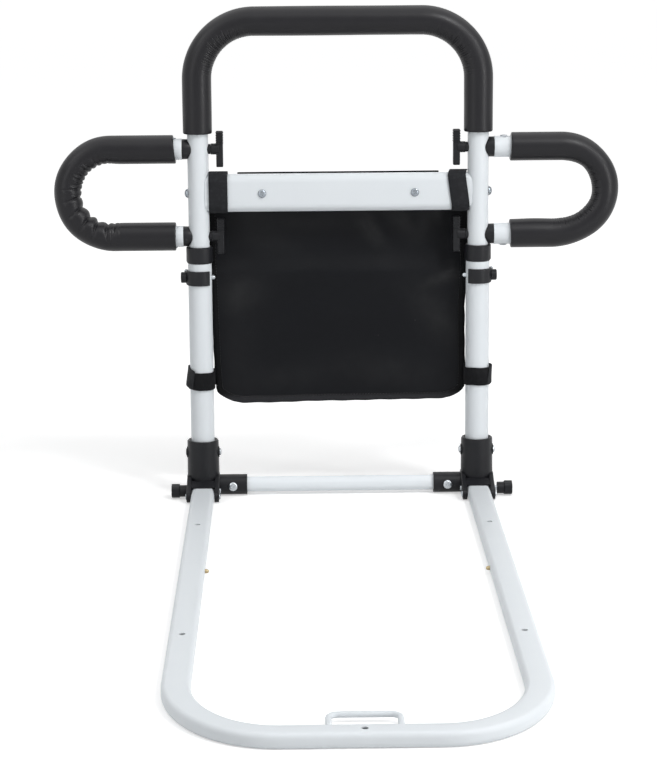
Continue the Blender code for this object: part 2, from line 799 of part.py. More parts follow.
def socket_bolt(label, side, capped):
    """A bolt through the socket and the lower tube; a capped one ends below the outer boss."""
    outer = BOSS_REACH + SEAT
    if capped:
        head = [(0, BOSS_REACH - SOCKET_HEAD), (SOCKET_BOLT_R, BOSS_REACH - SOCKET_HEAD)]
    else:
        head = [
            (0, outer + SOCKET_HEAD),
            (SOCKET_HEAD_R * 0.55, outer + SOCKET_HEAD * 0.85),
            (SOCKET_HEAD_R * 0.92, outer + SOCKET_HEAD * 0.45),
            (SOCKET_HEAD_R, outer),
            (SOCKET_BOLT_R, outer),
        ]
    nut = [
        (SOCKET_BOLT_R, -outer),
        (SOCKET_HEAD_R, -outer),
        (SOCKET_HEAD_R * 0.92, -outer - SOCKET_HEAD * 0.6),
        (SOCKET_HEAD_R * 0.6, -outer - SOCKET_HEAD),
        (0, -outer - SOCKET_HEAD),
    ]
    place = (side * UPRIGHT_X, 0, SOCKET_BOLT_Z)
    finish(turned(head + nut, place, (side, 0, 0), SCREW_SIDES), f"socket_bolt_{label}", ZINC, FOLD)


def socket_cap(label, side):
    """A plug that closes the bolt hole: a low button outside and a stem in the hole."""
    base = BOSS_REACH + SEAT
    profile = [
        (0, base + 0.0009),
        (SOCKET_HEAD_R * 0.7, base + 0.0008),
        (SOCKET_HEAD_R, base + 0.0003),
        (SOCKET_HEAD_R, base),
        (SOCKET_BOLT_R - SEAT, base),
        (SOCKET_BOLT_R - SEAT, base - SOCKET_HEAD + SEAT),
        (0, base - SOCKET_HEAD + SEAT),
    ]
    place = (side * UPRIGHT_X, 0, SOCKET_BOLT_Z)
    finish(turned(profile, place, (side, 0, 0), SCREW_SIDES), f"socket_cap_{label}", BLACK_PLASTIC, FOLD)


def crossbar():
    surface = bmesh.new()
    bmesh.ops.create_cone(
        surface,
        cap_ends=False,
        segments=TUBE_SIDES,
        radius1=CROSSBAR_R,
        radius2=CROSSBAR_R,
        depth=2 * (CROSSBAR_END - FIT),
        matrix=toward(X_AXIS, (0, 0, CROSSBAR_Z)),
    )
    bar = walled(object_from(surface), CROSSBAR_WALL)
    holes = [
        rod(
            (side * CROSSBAR_SCREW_X, -2 * CROSSBAR_R, CROSSBAR_Z),
            (side * CROSSBAR_SCREW_X, 0, CROSSBAR_Z),
            CROSSBAR_SCREW_R + HOLE_GAP,
            HOLE_SIDES,
        )
        for side in SIDES.values()
    ]
    finish(cut(bar, holes), "crossbar", WHITE_PAINT, FOLD)


def crossbar_screw(label, side):
    place = (side * CROSSBAR_SCREW_X, 0, CROSSBAR_Z)
    head = SIDE_SOCKET_R + SEAT
    screw = pan_screw(0.0054, 0.0021, CROSSBAR_SCREW_R, head, CROSSBAR_R * 0.5)
    finish(turned(screw, place, (0, -1, 0), SCREW_SIDES), f"crossbar_screw_{label}", ZINC, FOLD)


def pan_screw(head_r, head_height, shank_r, seat, tip):
    """A pan-headed screw: its head rests at seat, its shank reaches in to tip."""
    return [
        (0, seat + head_height),
        (head_r * 0.6, seat + head_height * 0.9),
        (head_r * 0.93, seat + head_height * 0.55),
        (head_r, seat),
        (shank_r, seat),
        (shank_r, tip + shank_r),
        (0, tip),
    ]


# Lower tubes and height lock


def straight_tube(x, low, high, radius, wall):
    surface = bmesh.new()
    bmesh.ops.create_cone(
        surface,
        cap_ends=False,
        segments=TUBE_SIDES,
        radius1=radius,
        radius2=radius,
        depth=high - low,
        matrix=Matrix.Translation((x, 0, (low + high) / 2)),
    )
    return walled(object_from(surface), wall)


def lower_tube(label, side):
    x = side * UPRIGHT_X
    tube = straight_tube(x, SOCKET_FLOOR_Z + SEAT, LOWER_TOP_Z, LOWER_R, LOWER_WALL)
    reach = 2 * LOWER_R
    tools = [
        rod((x - reach, 0, z), (x + reach, 0, z), r + HOLE_GAP, HOLE_SIDES)
        for z, r in ((SOCKET_BOLT_Z, SOCKET_BOLT_R), (PIN_Z, PIN_R))
    ]
    finish(cut(tube, tools), f"lower_tube_{label}", WHITE_PAINT, FOLD)


def collar(label, side):
    """A sleeve over the top of the lower tube, with a lip that guides the upper tube."""
    top, bottom = COLLAR_TOP_Z, COLLAR_TOP_Z - COLLAR_HEIGHT
    sleeve_r, guide_r = LOWER_R + FIT, UPPER_R + FIT
    profile = [
        (guide_r + 0.0006, top),
        (COLLAR_R - 0.0010, top),
        (COLLAR_R, top - 0.0012),
        (COLLAR_R, bottom + 0.0022),
        (COLLAR_R - 0.0013, bottom),
        (sleeve_r, bottom),
        (sleeve_r, LOWER_TOP_Z + SEAT),
        (guide_r, LOWER_TOP_Z + SEAT),
        (guide_r, top - 0.0008),
    ]
    place = (side * UPRIGHT_X, 0, 0)
    finish(turned(profile, place, (0, 0, 1), TUBE_SIDES), f"collar_{label}", BLACK_PLASTIC, FOLD)


def height_lock(label, side):
    """A springy C-shaped clip that carries a steel pin through both tubes."""
    x = side * UPRIGHT_X
    pull = joint_empty(f"height_lock_{label}_pull", (x, 0, PIN_Z), FOLD)
    outer_turn = math.pi - CLIP_MOUTH
    outside = arc((0, 0), CLIP_R, -outer_turn, outer_turn, 12)
    inside = arc((0, 0), CLIP_R - CLIP_WALL, outer_turn, -outer_turn, 12)
    mirror = Matrix.Rotation(0 if side > 0 else math.pi, 4, "Z")
    frame = Matrix.Translation((x, 0, PIN_Z)) @ mirror
    clip = rounded(outline_solid([outside + inside], CLIP_HEIGHT, frame), 0.0006, 1, 60)
    start = side * (UPRIGHT_X + CLIP_R - CLIP_WALL / 2)
    end = side * (UPRIGHT_X + CLIP_R + CLIP_BOSS)
    boss = rounded(rod((start, 0, PIN_Z), (end, 0, PIN_Z), CLIP_BOSS_R, 12), 0.0008, 1, 60)
    neck = side * (UPRIGHT_X + CLIP_R + CLIP_BOSS * 0.6)
    bore = rod((x, 0, PIN_Z), (neck, 0, PIN_Z), PIN_R + SEAT, 12)
    finish(cut(fused(clip, [boss]), [bore]), f"height_clip_{label}", BLACK_PLASTIC, pull)
    tip = LOWER_R + PIN_TIP
    profile = [
        (0, tip),
        (PIN_R * 0.5, tip - PIN_R * 0.14),
        (PIN_R * 0.87, tip - PIN_R * 0.5),
        (PIN_R, tip - PIN_R),
        (PIN_R, -CLIP_R - CLIP_BOSS * 0.6 + SEAT),
        (0, -CLIP_R - CLIP_BOSS * 0.6 + SEAT),
    ]
    pin = turned(profile, (x, 0, PIN_Z), (-side, 0, 0), 12)
    finish(pin, f"height_pin_{label}", ZINC, pull)


# Upper frame


def upper_frame():
    frame = walled(swept(arch_path(UPPER_FOOT_Z), UPPER_R, TUBE_SIDES, capped=False), UPPER_WALL)
    row = [PIN_Z - HOLE_PITCH * i for i in range(HOLE_COUNT)]
    tools = []
    for side in SIDES.values():
        inner, outer = side * (UPRIGHT_X - 2 * UPPER_R), side * (UPRIGHT_X + 2 * UPPER_R)
        holes = [(z, PIN_R) for z in row]
        holes += [(HANDLE_LOW_Z, STUD_R), (HANDLE_HIGH_Z, STUD_R), (BEAM_Z, BEAM_BOLT_R)]
        for z, r in holes:
            tools.append(rod((inner, 0, z), (outer, 0, z), r + HOLE_GAP, HOLE_SIDES))
        vent_z = PIN_Z + VENT_RISE
        tools.append(rod((inner, 0, vent_z), (side * UPRIGHT_X, 0, vent_z), VENT_R, HOLE_SIDES))
    finish(cut(frame, tools), "upper_frame", WHITE_PAINT, LIFT)


def foam_sleeve(path, sides):
    """A soft sleeve over a tube, open at both ends."""
    return walled(swept(path, GRIP_R, sides, capped=False), FOAM_WALL)


def top_grip():
    finish(foam_sleeve(arch_path(TOP_GRIP_END_Z), TUBE_SIDES), "top_grip", BLACK_FOAM, LIFT)


def beam():
    """A flat-oval bar between the uprights, hollow between the blocks that close its ends."""
    outline = rounded_rectangle(BEAM_DEPTH, BEAM_HEIGHT, BEAM_EDGE_R, 4)
    body = outline_solid([outline], 2 * BEAM_END_X, yz_frame_at(BEAM_Z))
    hollow_half = BEAM_END_X - BEAM_BLOCK
    core = rounded_rectangle(
        BEAM_DEPTH - 2 * BEAM_WALL, BEAM_HEIGHT - 2 * BEAM_WALL, BEAM_EDGE_R - BEAM_WALL, 2
    )
    tools = [outline_solid([core], 2 * hollow_half, yz_frame_at(BEAM_Z))]
    for side in SIDES.values():
        x = side * UPRIGHT_X
        tools.append(
            rod((x, 0, BEAM_Z - BEAM_HEIGHT), (x, 0, BEAM_Z + BEAM_HEIGHT), UPPER_R + SEAT, TUBE_SIDES)
        )
        bore_end = side * (UPRIGHT_X - BEAM_BOLT_REACH - SEAT)
        tools.append(rod((x, 0, BEAM_Z), (bore_end, 0, BEAM_Z), BEAM_BOLT_R + HOLE_GAP, HOLE_SIDES))
        screw_x = side * BEAM_SCREW_X
        drain_x = side * (hollow_half - 0.012)
        tools.append(
            rod((screw_x, -BEAM_DEPTH, BEAM_Z), (screw_x, 0, BEAM_Z), SCREW_R + HOLE_GAP, HOLE_SIDES)
        )
        tools.append(
            rod((drain_x, 0, BEAM_Z - BEAM_HEIGHT), (drain_x, 0, BEAM_Z), 0.0020, 8)
        )
    finish(cut(body, tools), "beam", WHITE_PAINT, LIFT)


def yz_frame_at(z):
    return Matrix.Translation((0, 0, z)) @ yz_frame()


def beam_fasteners(label, side):
    """A domed bolt through the upright into the beam's end, and a cross-recessed front screw."""
    head = UPPER_R + SEAT
    bolt = [
        (0, head + DOME_HEIGHT),
        (DOME_R * 0.42, head + DOME_HEIGHT * 0.94),
        (DOME_R * 0.78, head + DOME_HEIGHT * 0.66),
        (DOME_R * 0.96, head + DOME_HEIGHT * 0.3),
        (DOME_R, head),
        (BEAM_BOLT_R, head),
        (BEAM_BOLT_R, -BEAM_BOLT_REACH),
        (0, -BEAM_BOLT_REACH),
    ]
    place = (side * UPRIGHT_X, 0, BEAM_Z)
    finish(turned(bolt, place, (side, 0, 0), 12), f"beam_bolt_{label}", ZINC, LIFT)
    screw = pan_screw(PAN_R, PAN_HEIGHT, SCREW_R, BEAM_DEPTH / 2 + SEAT, 0.002)
    place = (side * BEAM_SCREW_X, 0, BEAM_Z)
    finish(turned(screw, place, (0, -1, 0), SCREW_SIDES), f"beam_screw_{label}", ZINC, LIFT)


# Side handles


def side_handle(label, side):
    path = handle_path(side, HANDLE_END_X)
    tube = walled(swept(path, UPPER_R, HANDLE_SIDES, capped=False), UPPER_WALL)
    x = side * (UPRIGHT_X + PLUG_SCREW_X)
    high, low = HANDLE_HIGH_Z, HANDLE_LOW_Z
    tools = [
        rod((x, 0, high), (x, 0, high + 2 * UPPER_R), SCREW_R + HOLE_GAP, HOLE_SIDES),
        rod((x, 0, low), (x, 0, low - 2 * UPPER_R), SCREW_R + HOLE_GAP, HOLE_SIDES),
    ]
    finish(cut(tube, tools), f"side_handle_{label}", WHITE_PAINT, LIFT)


def side_grip(label, side, start):
    """The handle's foam, hollowed where it lies over the heads of the plug screws."""
    grip = foam_sleeve(handle_path(side, UPRIGHT_X + start), HANDLE_SIDES)
    x = side * (UPRIGHT_X + PLUG_SCREW_X)
    reach = UPPER_R + SEAT + PLUG_SCREW_HEAD + SEAT
    tools = [
        rod((x, 0, z), (x, 0, z + lift * reach), PLUG_SCREW_R + HOLE_GAP, SCREW_SIDES)
        for z, lift in ((HANDLE_HIGH_Z, 1), (HANDLE_LOW_Z, -1))
        if start < PLUG_SCREW_X + PLUG_SCREW_R + SEAT
    ]
    finish(cut(grip, tools), f"side_grip_{label}", BLACK_FOAM, LIFT)


def plug_profile():
    """A shouldered plug turned about the handle's leg: head outside, spigot inside the tube."""
    bore_r = UPPER_R - UPPER_WALL - 2 * FIT
    return [
        (0, 0),
        (PLUG_R, 0),
        (PLUG_R, HANDLE_END - 0.0010),
        (PLUG_R - 0.0006, HANDLE_END - SEAT),
        (bore_r, HANDLE_END - SEAT),
        (bore_r - 0.0004, HANDLE_END + PLUG_SPIGOT),
        (0, HANDLE_END + PLUG_SPIGOT),
    ]


def handle_plug(name, side, z, lift):
    """The plug's head is hollowed to cup the upright; its bore takes the knob's stud."""
    x = side * UPRIGHT_X
    plug = turned(plug_profile(), (x, 0, z), (side, 0, 0), 16)
    screw_x = side * (UPRIGHT_X + PLUG_SCREW_X)
    bore_end = side * (UPRIGHT_X + STUD_REACH + SEAT)
    tools = [
        rod((x, 0, z - 0.03), (x, 0, z + 0.03), UPPER_R + SEAT, TUBE_SIDES),
        rod((x, 0, z), (bore_end, 0, z), STUD_R + HOLE_GAP, HOLE_SIDES),
        rod((screw_x, 0, z + lift * 0.0045), (screw_x, 0, z + lift * 0.02), SCREW_R + HOLE_GAP, HOLE_SIDES),
    ]
    finish(cut(plug, tools), f"handle_plug_{name}", BLACK_PLASTIC, LIFT)
    seat = UPPER_R + SEAT
    screw = pan_screw(PLUG_SCREW_R, PLUG_SCREW_HEAD, SCREW_R, seat, 0.0050)
    place = (screw_x, 0, z)
    finish(turned(screw, place, (0, 0, lift), SCREW_SIDES), f"plug_screw_{name}", ZINC, LIFT)


def handle_knob(name, side, z):
    """A T-shaped knob moulded on a stud, with a saddle washer between its hub and the upright."""
    turn = joint_empty(f"handle_knob_{name}_turn", (side * UPRIGHT_X, 0, z), LIFT)
    bar_x = HUB_X - HUB_LENGTH
    outline = t_bar_outline()
    middle = side * (bar_x - BAR_THICK / 2)
    bar = outline_solid([outline], BAR_THICK, Matrix.Translation((middle, 0, z)) @ yz_frame())
    bar = rounded(bar, 0.0008, 1, 50)
    hub = rod((side * (bar_x - 0.003), 0, z), (side * HUB_X, 0, z), HUB_R, 12)
    stud = rod((side * (HUB_X - 0.002), 0, z), (side * (UPRIGHT_X + STUD_REACH), 0, z), STUD_R, HOLE_SIDES)
    finish(plain(fused(bar, [hub, stud])), f"handle_knob_{name}", BLACK_PLASTIC, turn)
    washer = rod((side * WASHER_X, 0, z), (side * (UPRIGHT_X - 0.009), 0, z), WASHER_R, 12)
    tools = [
        rod((side * UPRIGHT_X, 0, z - 0.02), (side * UPRIGHT_X, 0, z + 0.02), UPPER_R + SEAT, TUBE_SIDES),
        rod((side * (WASHER_X - 0.01), 0, z), (side * UPRIGHT_X, 0, z), STUD_R + HOLE_GAP, HOLE_SIDES),
    ]
    finish(cut(washer, tools), f"knob_washer_{name}", BLACK_PLASTIC, LIFT)


def t_bar_outline():
    """The grip of the T-knob: a waist at the hub, stepped ribs, rounded ends."""
    half, wide = BAR_LENGTH / 2, BAR_WIDTH / 2
    right = [(wide * 0.86, 0.0), (wide * 0.86, half * 0.34)]
    right += [(wide, half * 0.40), (wide, half * 0.86), (wide * 0.72, half)]
    upper = right + [(-u, v) for u, v in right[::-1]]
    lower = [(-u, -v) for u, v in upper if v > 0]
    return without_repeats(upper + lower)


# Pouch and straps


def panel_depth(z):
    """How far back the pouch's front face hangs, which leaves the lower T-knobs room to turn."""
    room = BAR_LENGTH / 2 + KNOB_ROOM
    fall = max(0.0, 1 - ((z - HANDLE_LOW_Z) / KNOB_BAY) ** 2)
    return POUCH_Y + (room - POUCH_Y) * fall * fall * (3 - 2 * fall)


def pouch_half_width(z):
    """Half the pouch's width at a height: drawn in at the top hem and at the lower corners."""
    shoulder, neck = BEAM_Z - BEAM_HEIGHT / 2, POUCH_TOP_Z - 0.010
    if z > shoulder:
        share = min(1.0, (z - shoulder) / (neck - shoulder))
        return POUCH_HALF + (POUCH_TOP_HALF - POUCH_HALF) * share
    share = min(1.0, (z - POUCH_BOTTOM_Z) / POUCH_CORNER)
    return POUCH_HALF - 0.0235 * (1 - math.sqrt(share * (2 - share)))


def front_face(u, z):
    """The front face at a share u of the half width, with the cloth's slow ripples."""
    calm = min(1.0, (POUCH_TOP_Z - z) / 0.09) * (1 - u * u)
    return panel_depth(z) + POUCH_RIPPLE * calm * (1 + math.sin(5 * u + 21 * z))


def pocket_depth(u, z):
    """How far the rear panel stands behind the front face: full in the middle, flat at the seams."""
    low = min(1.0, (z - POUCH_BOTTOM_Z) / 0.05)
    drape = 0.08 * math.sin(7 * u) * math.sin(26 * z)
    return 2.2 * POUCH_WALL + POUCH_BULGE * (1 - abs(u) ** 3) * math.sqrt(low) * (1 + drape)


def loft(levels, columns, front, back, half):
    """A closed body whose level sections run between a front and a back face."""
    bm = bmesh.new()
    rings = []
    shares = [2 * j / columns - 1 for j in range(columns + 1)]
    for z in levels:
        near = [bm.verts.new((u * half(z), front(u, z), z)) for u in shares]
        far = [bm.verts.new((u * half(z), back(u, z), z)) for u in reversed(shares)]
        rings.append(near + far)
    count = len(rings[0])
    for a, b in zip(rings, rings[1:]):
        for j in range(count):
            k = (j + 1) % count
            bm.faces.new((a[j], a[k], b[k], b[j]))
    for ring in (rings[0], rings[-1]):
        for j in range(columns):
            bm.faces.new((ring[j], ring[j + 1], ring[count - 2 - j], ring[count - 1 - j]))
    return object_from(bm)


def spaced(low, high, steps):
    return [low + (high - low) * i / steps for i in range(steps + 1)]


def pouch():
    """A flat bag behind the beam: a front panel up to the top hem, a fuller rear panel behind it."""
    mouth = POUCH_TOP_Z - POUCH_MOUTH_DROP
    corner = POUCH_BOTTOM_Z + POUCH_CORNER
    floor = POUCH_BOTTOM_Z + 3 * POUCH_WALL
    skin = POUCH_WALL / 10

    def bag_back(u, z):
        return front_face(u, z) + pocket_depth(u, z)

    def inner_front(u, z):
        return front_face(u, z) + POUCH_WALL

    def inner_back(u, z):
        return bag_back(u, z) - POUCH_WALL

    def inner_half(z):
        return pouch_half_width(min(z, mouth)) - 3 * POUCH_WALL

    def panel_front(u, z):
        return front_face(u, z) + skin

    def panel_back(u, z):
        return front_face(u, z) + POUCH_WALL - skin

    levels = spaced(POUCH_BOTTOM_Z, corner, 3) + spaced(corner, mouth, 10)[1:]
    bag = loft(levels, 10, front_face, bag_back, pouch_half_width)
    levels = [floor, *spaced(corner, mouth + 0.006, 8)]
    hollow = loft(levels, 10, inner_front, inner_back, inner_half)
    panel = loft(spaced(mouth - 0.004, POUCH_TOP_Z, 4), 10, panel_front, panel_back, pouch_half_width)
    finish(fused(cut(bag, [hollow]), [panel]), "pouch", POUCH_CLOTH, LIFT, 50)


def beam_strap(label, side, slant):
    """A sewn band round the beam's end, in front of the pouch's corner."""
    gap = SEAT + STRAP_WALL
    outer = rounded_rectangle(
        BEAM_DEPTH + 2 * gap, BEAM_HEIGHT + 2 * gap, BEAM_EDGE_R + gap, 4
    )
    inner = rounded_rectangle(
        BEAM_DEPTH + 2 * SEAT, BEAM_HEIGHT + 2 * SEAT, BEAM_EDGE_R + SEAT, 4
    )
    reach = UPRIGHT_X - UPPER_R - 2 * SEAT - abs(slant) * BEAM_HEIGHT / 2
    middle = side * (reach - BEAM_STRAP_WIDTH / 2)
    band = outline_solid([outer, inner], BEAM_STRAP_WIDTH, yz_frame_at(BEAM_Z))
    shear = Matrix.Identity(4)
    shear[0][2] = slant
    shear[0][3] = middle - slant * BEAM_Z
    band.data.transform(shear)
    finish(band, f"beam_strap_{label}", WEBBING, LIFT)


def tube_strap(label, side, low):
    """A hook strap sewn to the pouch's edge and wrapped round the lower tube, its end on top."""
    inner_r = LOWER_R + 2 * SEAT
    outer_r = inner_r + STRAP_WALL
    middle_z = low + TUBE_STRAP_HEIGHT / 2
    turn = Matrix.Rotation(0 if side > 0 else math.pi, 4, "Z")
    frame = Matrix.Translation((side * UPRIGHT_X, 0, middle_z)) @ turn
    ring = [arc((0, 0), r, 0, 2 * math.pi, TUBE_SIDES)[:-1] for r in (outer_r, inner_r)]
    loop = outline_solid(ring, TUBE_STRAP_HEIGHT, frame)
    start, end = (math.radians(a) * side for a in (-75, 35))
    lap = arc((0, 0), outer_r + STRAP_WALL, start, end, 8)
    lap += arc((0, 0), inner_r + STRAP_WALL / 2, end, start, 8)
    flap = outline_solid([lap], TUBE_STRAP_HEIGHT - 0.001, frame)
    tab_x = UPRIGHT_X - outer_r - STRAP_TAB + 0.008
    tab_y = POUCH_Y - SEAT
    end_x = UPRIGHT_X - math.sqrt((inner_r + STRAP_WALL / 2) ** 2 - (tab_y - STRAP_WALL / 2) ** 2)
    xs = sorted((side * tab_x, side * end_x))
    tab = box((xs[0], tab_y - STRAP_WALL, low + 0.0005), (xs[1], tab_y, low + TUBE_STRAP_HEIGHT - 0.0005))
    finish(plain(fused(loop, [flap, tab])), f"tube_strap_{label}", WEBBING, LIFT)


# Assembly


def build():
    base_frame()
    strap_loop()
    crossbar()
    upper_frame()
    top_grip()
    beam()
    pouch()
    for label, side in SIDES.items():
        leg_button(label, side)
        leg_spring(label, side)
        hinge_bracket(label, side)
        pivot_bolt(label, side)
        socket_bolt(label, side, capped=side < 0)
        crossbar_screw(label, side)
        lower_tube(label, side)
        collar(label, side)
        height_lock(label, side)
        beam_fasteners(label, side)
        side_handle(label, side)
        for name, z, lift in (("upper", HANDLE_HIGH_Z, 1), ("lower", HANDLE_LOW_Z, -1)):
            handle_plug(f"{name}_{label}", side, z, lift)
            handle_knob(f"{name}_{label}", side, z)
    socket_cap("L", SIDES["L"])
    clamp("L", SIDES["L"], KNOB_OUT_L)
    clamp("R", SIDES["R"], KNOB_OUT_R)
    side_grip("L", SIDES["L"], GRIP_START_L)
    side_grip("R", SIDES["R"], GRIP_START_R)
    beam_strap("L", SIDES["L"], 0.0)
    beam_strap("R", SIDES["R"], -0.07)
    tube_strap("L", SIDES["L"], TUBE_STRAP_LOW_L)
    tube_strap("R", SIDES["R"], TUBE_STRAP_LOW_R)


clear_scene()
PARTS = collection("bed_rail")
WORKSHOP = collection("cutters")
FOLD = joint_empty("base_fold", (0, PIVOT_Y, PIVOT_Z))
LIFT = joint_empty("height_slide", (0, 0, COLLAR_TOP_Z), FOLD)
build()
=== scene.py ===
"""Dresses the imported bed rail: camera, soft studio light, floor, materials and the soft pieces.

Metres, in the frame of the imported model: +Z up, the floor at z = 0, the uprights on the plane
y = 0 and the base toward -Y, where the camera stands.
"""

import json
from math import atan2, copysign, cos, degrees, exp, pi, radians, sin, sqrt

import bmesh
import bpy
import numpy as np
from mathutils import Matrix, Vector

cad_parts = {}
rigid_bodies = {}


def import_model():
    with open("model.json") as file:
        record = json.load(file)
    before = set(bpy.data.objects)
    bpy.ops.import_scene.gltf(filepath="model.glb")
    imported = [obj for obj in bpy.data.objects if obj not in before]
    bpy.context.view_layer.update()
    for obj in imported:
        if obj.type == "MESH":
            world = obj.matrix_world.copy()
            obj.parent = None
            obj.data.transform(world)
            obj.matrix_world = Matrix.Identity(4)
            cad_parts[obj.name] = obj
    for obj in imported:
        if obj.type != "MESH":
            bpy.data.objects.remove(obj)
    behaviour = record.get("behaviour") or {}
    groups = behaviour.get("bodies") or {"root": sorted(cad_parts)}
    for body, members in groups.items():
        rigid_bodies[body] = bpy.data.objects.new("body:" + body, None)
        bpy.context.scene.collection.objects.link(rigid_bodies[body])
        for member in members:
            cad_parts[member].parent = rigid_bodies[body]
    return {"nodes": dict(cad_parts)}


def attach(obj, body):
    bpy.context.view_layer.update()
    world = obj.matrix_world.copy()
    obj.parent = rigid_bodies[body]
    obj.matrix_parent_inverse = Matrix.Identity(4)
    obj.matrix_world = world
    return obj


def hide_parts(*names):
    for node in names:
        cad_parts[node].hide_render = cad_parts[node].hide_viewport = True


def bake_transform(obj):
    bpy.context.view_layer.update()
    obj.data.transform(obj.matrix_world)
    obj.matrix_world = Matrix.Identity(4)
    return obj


# Camera: the photograph's focal length in pixels, its place and its turns
FOCAL_PX = 2380.0
WIDTH_PX = 657.0
CAMERA_AT = Vector((-0.05654, -2.84798, 0.72482))
YAW, PITCH, ROLL = 0.0151, 0.2011, -0.0074

LAMPS = (
    # name, place, target, size and power
    ("box_right", (2.35, -1.45, 1.75), (0.05, 0, 0.45), (0.5, 1.1), 17),
    ("high_right", (1.25, -1.75, 2.45), (0.05, 0, 0.45), (0.45, 0.45), 26),
    ("low_right", (2.05, -1.95, 0.46), (0, 0, 0.45), (0.4, 0.8), 14),
    ("box_left", (-1.95, -2.15, 0.95), (0, -0.05, 0.45), (0.6, 1.6), 8),
    ("high_left", (-2.30, -1.15, 2.05), (0, -0.05, 0.40), (0.5, 0.5), 7),
    ("top", (0.0, -0.3, 3.0), (0, -0.3, 0.2), (6.0, 5.0), 80),
)

# The floor's own white: its middle, its value far away, its dip in the middle and the dip's reach
FLOOR_MIDDLE = (0.0, -0.4, 0.0)
FLOOR_FAR, FLOOR_DIP, FLOOR_REACH = 0.94, 0.5, 2.3

# Sizes of the frame that the soft pieces fit
UPRIGHT_X = 0.168
TUBE_R, TUBE_WALL, LOWER_R = 0.0127, 0.0015, 0.0143
ARCH_Z, ARCH_BEND_R = 0.5771, 0.0685
HANDLE_LOW_Z, HANDLE_HIGH_Z = 0.3209, 0.4260
HANDLE_MIDDLE_Z = (HANDLE_LOW_Z + HANDLE_HIGH_Z) / 2
HANDLE_END_X = 0.1870
HANDLE_BEND_R = (HANDLE_HIGH_Z - HANDLE_LOW_Z) / 2
HANDLE_OUT_X = {"L": 0.3240, "R": 0.3200}
HANDLE_EASE = {"L": 0.0020, "R": 0.0130}
BEAM_Z, BEAM_HEIGHT, BEAM_DEPTH, BEAM_EDGE_R = 0.373, 0.0456, 0.021, 0.0098
LEG_WIDTH, LEG_HEIGHT, LEG_WALL = 0.0277, 0.0150, 0.0015
LEG_END_Y, BASE_BEND_Y, BASE_BAR_Y, BASE_BEND_X = -0.024, -0.7494, -0.8854, 0.096

# Foam grips, and the fine creases in their skin
TOP_FOAM_R, SIDE_FOAM_R, GRIP_BORE = 0.0174, 0.0171, 0.0129
TOP_GRIP_END_Z = 0.4445
GRIP_START = {"L": 0.1958, "R": 0.2068}
LINE_HALF, LINE_DRIFT = 0.0012, 0.00026
LINE_RINGS = (-0.00052, -0.0002, 0.0, 0.0002, 0.00052)
LINE_CLEAR, LINE_REACH = 0.00075, 0.003
TILT_REACH = 0.03

# Pouch: heights, half widths, depth, cloth, edge tape and stitches
POUCH_TOP_Z, POUCH_BOTTOM_Z, MOUTH_Z = 0.3965, 0.1125, 0.3445
POUCH_HALF, POUCH_TOP_HALF, POUCH_SHOULDER_HALF = 0.1540, 0.1215, 0.1566
POUCH_Y, POUCH_LOW_Y = 0.0129, 0.0241
CLOTH_GAUGE = 0.0011
EDGE_HALF, EDGE_REACH = 0.0017, 0.0074
STITCH_INSET, STITCH_PITCH, STITCH_LENGTH = 0.0072, 0.0036, 0.0026

# Screws: head radius and height, shank radius and length
BEAM_SCREW = (0.0050, 0.0020, 0.0020, 0.0088)
CROSSBAR_SCREW = (0.0055, 0.0021, 0.0024, 0.0082)
PLUG_SCREW = (0.0046, 0.0012, 0.0020, 0.0075)

# Rounding of the hard parts' edges
EDGE_ROUND = 0.0004

SIDES = {"L": -1, "R": 1}
HANDLE_ENDS = [
    (f"{level}_{label}", side, z)
    for level, z in (("upper", HANDLE_HIGH_Z), ("lower", HANDLE_LOW_Z))
    for label, side in SIDES.items()
]
UP, FRONT, BACK = (0, 0, 1), (0, -1, 0), (0, 1, 0)


# Numbers


def spaced(low, high, steps):
    return [low + (high - low) * i / steps for i in range(steps + 1)]


def around(sides):
    """The angles of a ring's corners."""
    return spaced(0, 2 * pi, sides)[:-1]


def clamped(value):
    return min(1.0, max(0.0, value))


def eased(value):
    """From 0 to 1, with a soft start and end."""
    t = clamped(value)
    return t * t * (3 - 2 * t)


def folded(turn):
    """The angle from the inner side of a bend, the same both ways round."""
    return abs(atan2(sin(turn), cos(turn)))


def toned(colour, share):
    return tuple(v * share for v in colour)


def lengths(points):
    """The length along a line, at each of its points."""
    return np.concatenate([[0], np.cumsum(np.linalg.norm(np.diff(points, axis=0), axis=1))])


def aimed(place, axis, start=UP):
    """The matrix that sets a thing down at a place, with its start direction turned to an axis."""
    turn = Vector(start).rotation_difference(Vector(axis)).to_matrix().to_4x4()
    return Matrix.Translation(Vector(place)) @ turn


# Camera, light and floor


def linked(name, data):
    obj = bpy.data.objects.new(name, data)
    bpy.context.scene.collection.objects.link(obj)
    return obj


def camera():
    data = bpy.data.cameras.new("camera")
    data.sensor_fit = "HORIZONTAL"
    data.sensor_width = 36
    data.lens = FOCAL_PX * data.sensor_width / WIDTH_PX
    data.clip_start, data.clip_end = 0.05, 200
    cam = linked("camera", data)
    turns = ((-YAW, "Z"), (pi / 2 - PITCH, "X"), (ROLL, "Z"))
    yaw, pitch, roll = (Matrix.Rotation(angle, 4, axis) for angle, axis in turns)
    cam.matrix_world = Matrix.Translation(CAMERA_AT) @ yaw @ pitch @ roll
    bpy.context.scene.camera = cam


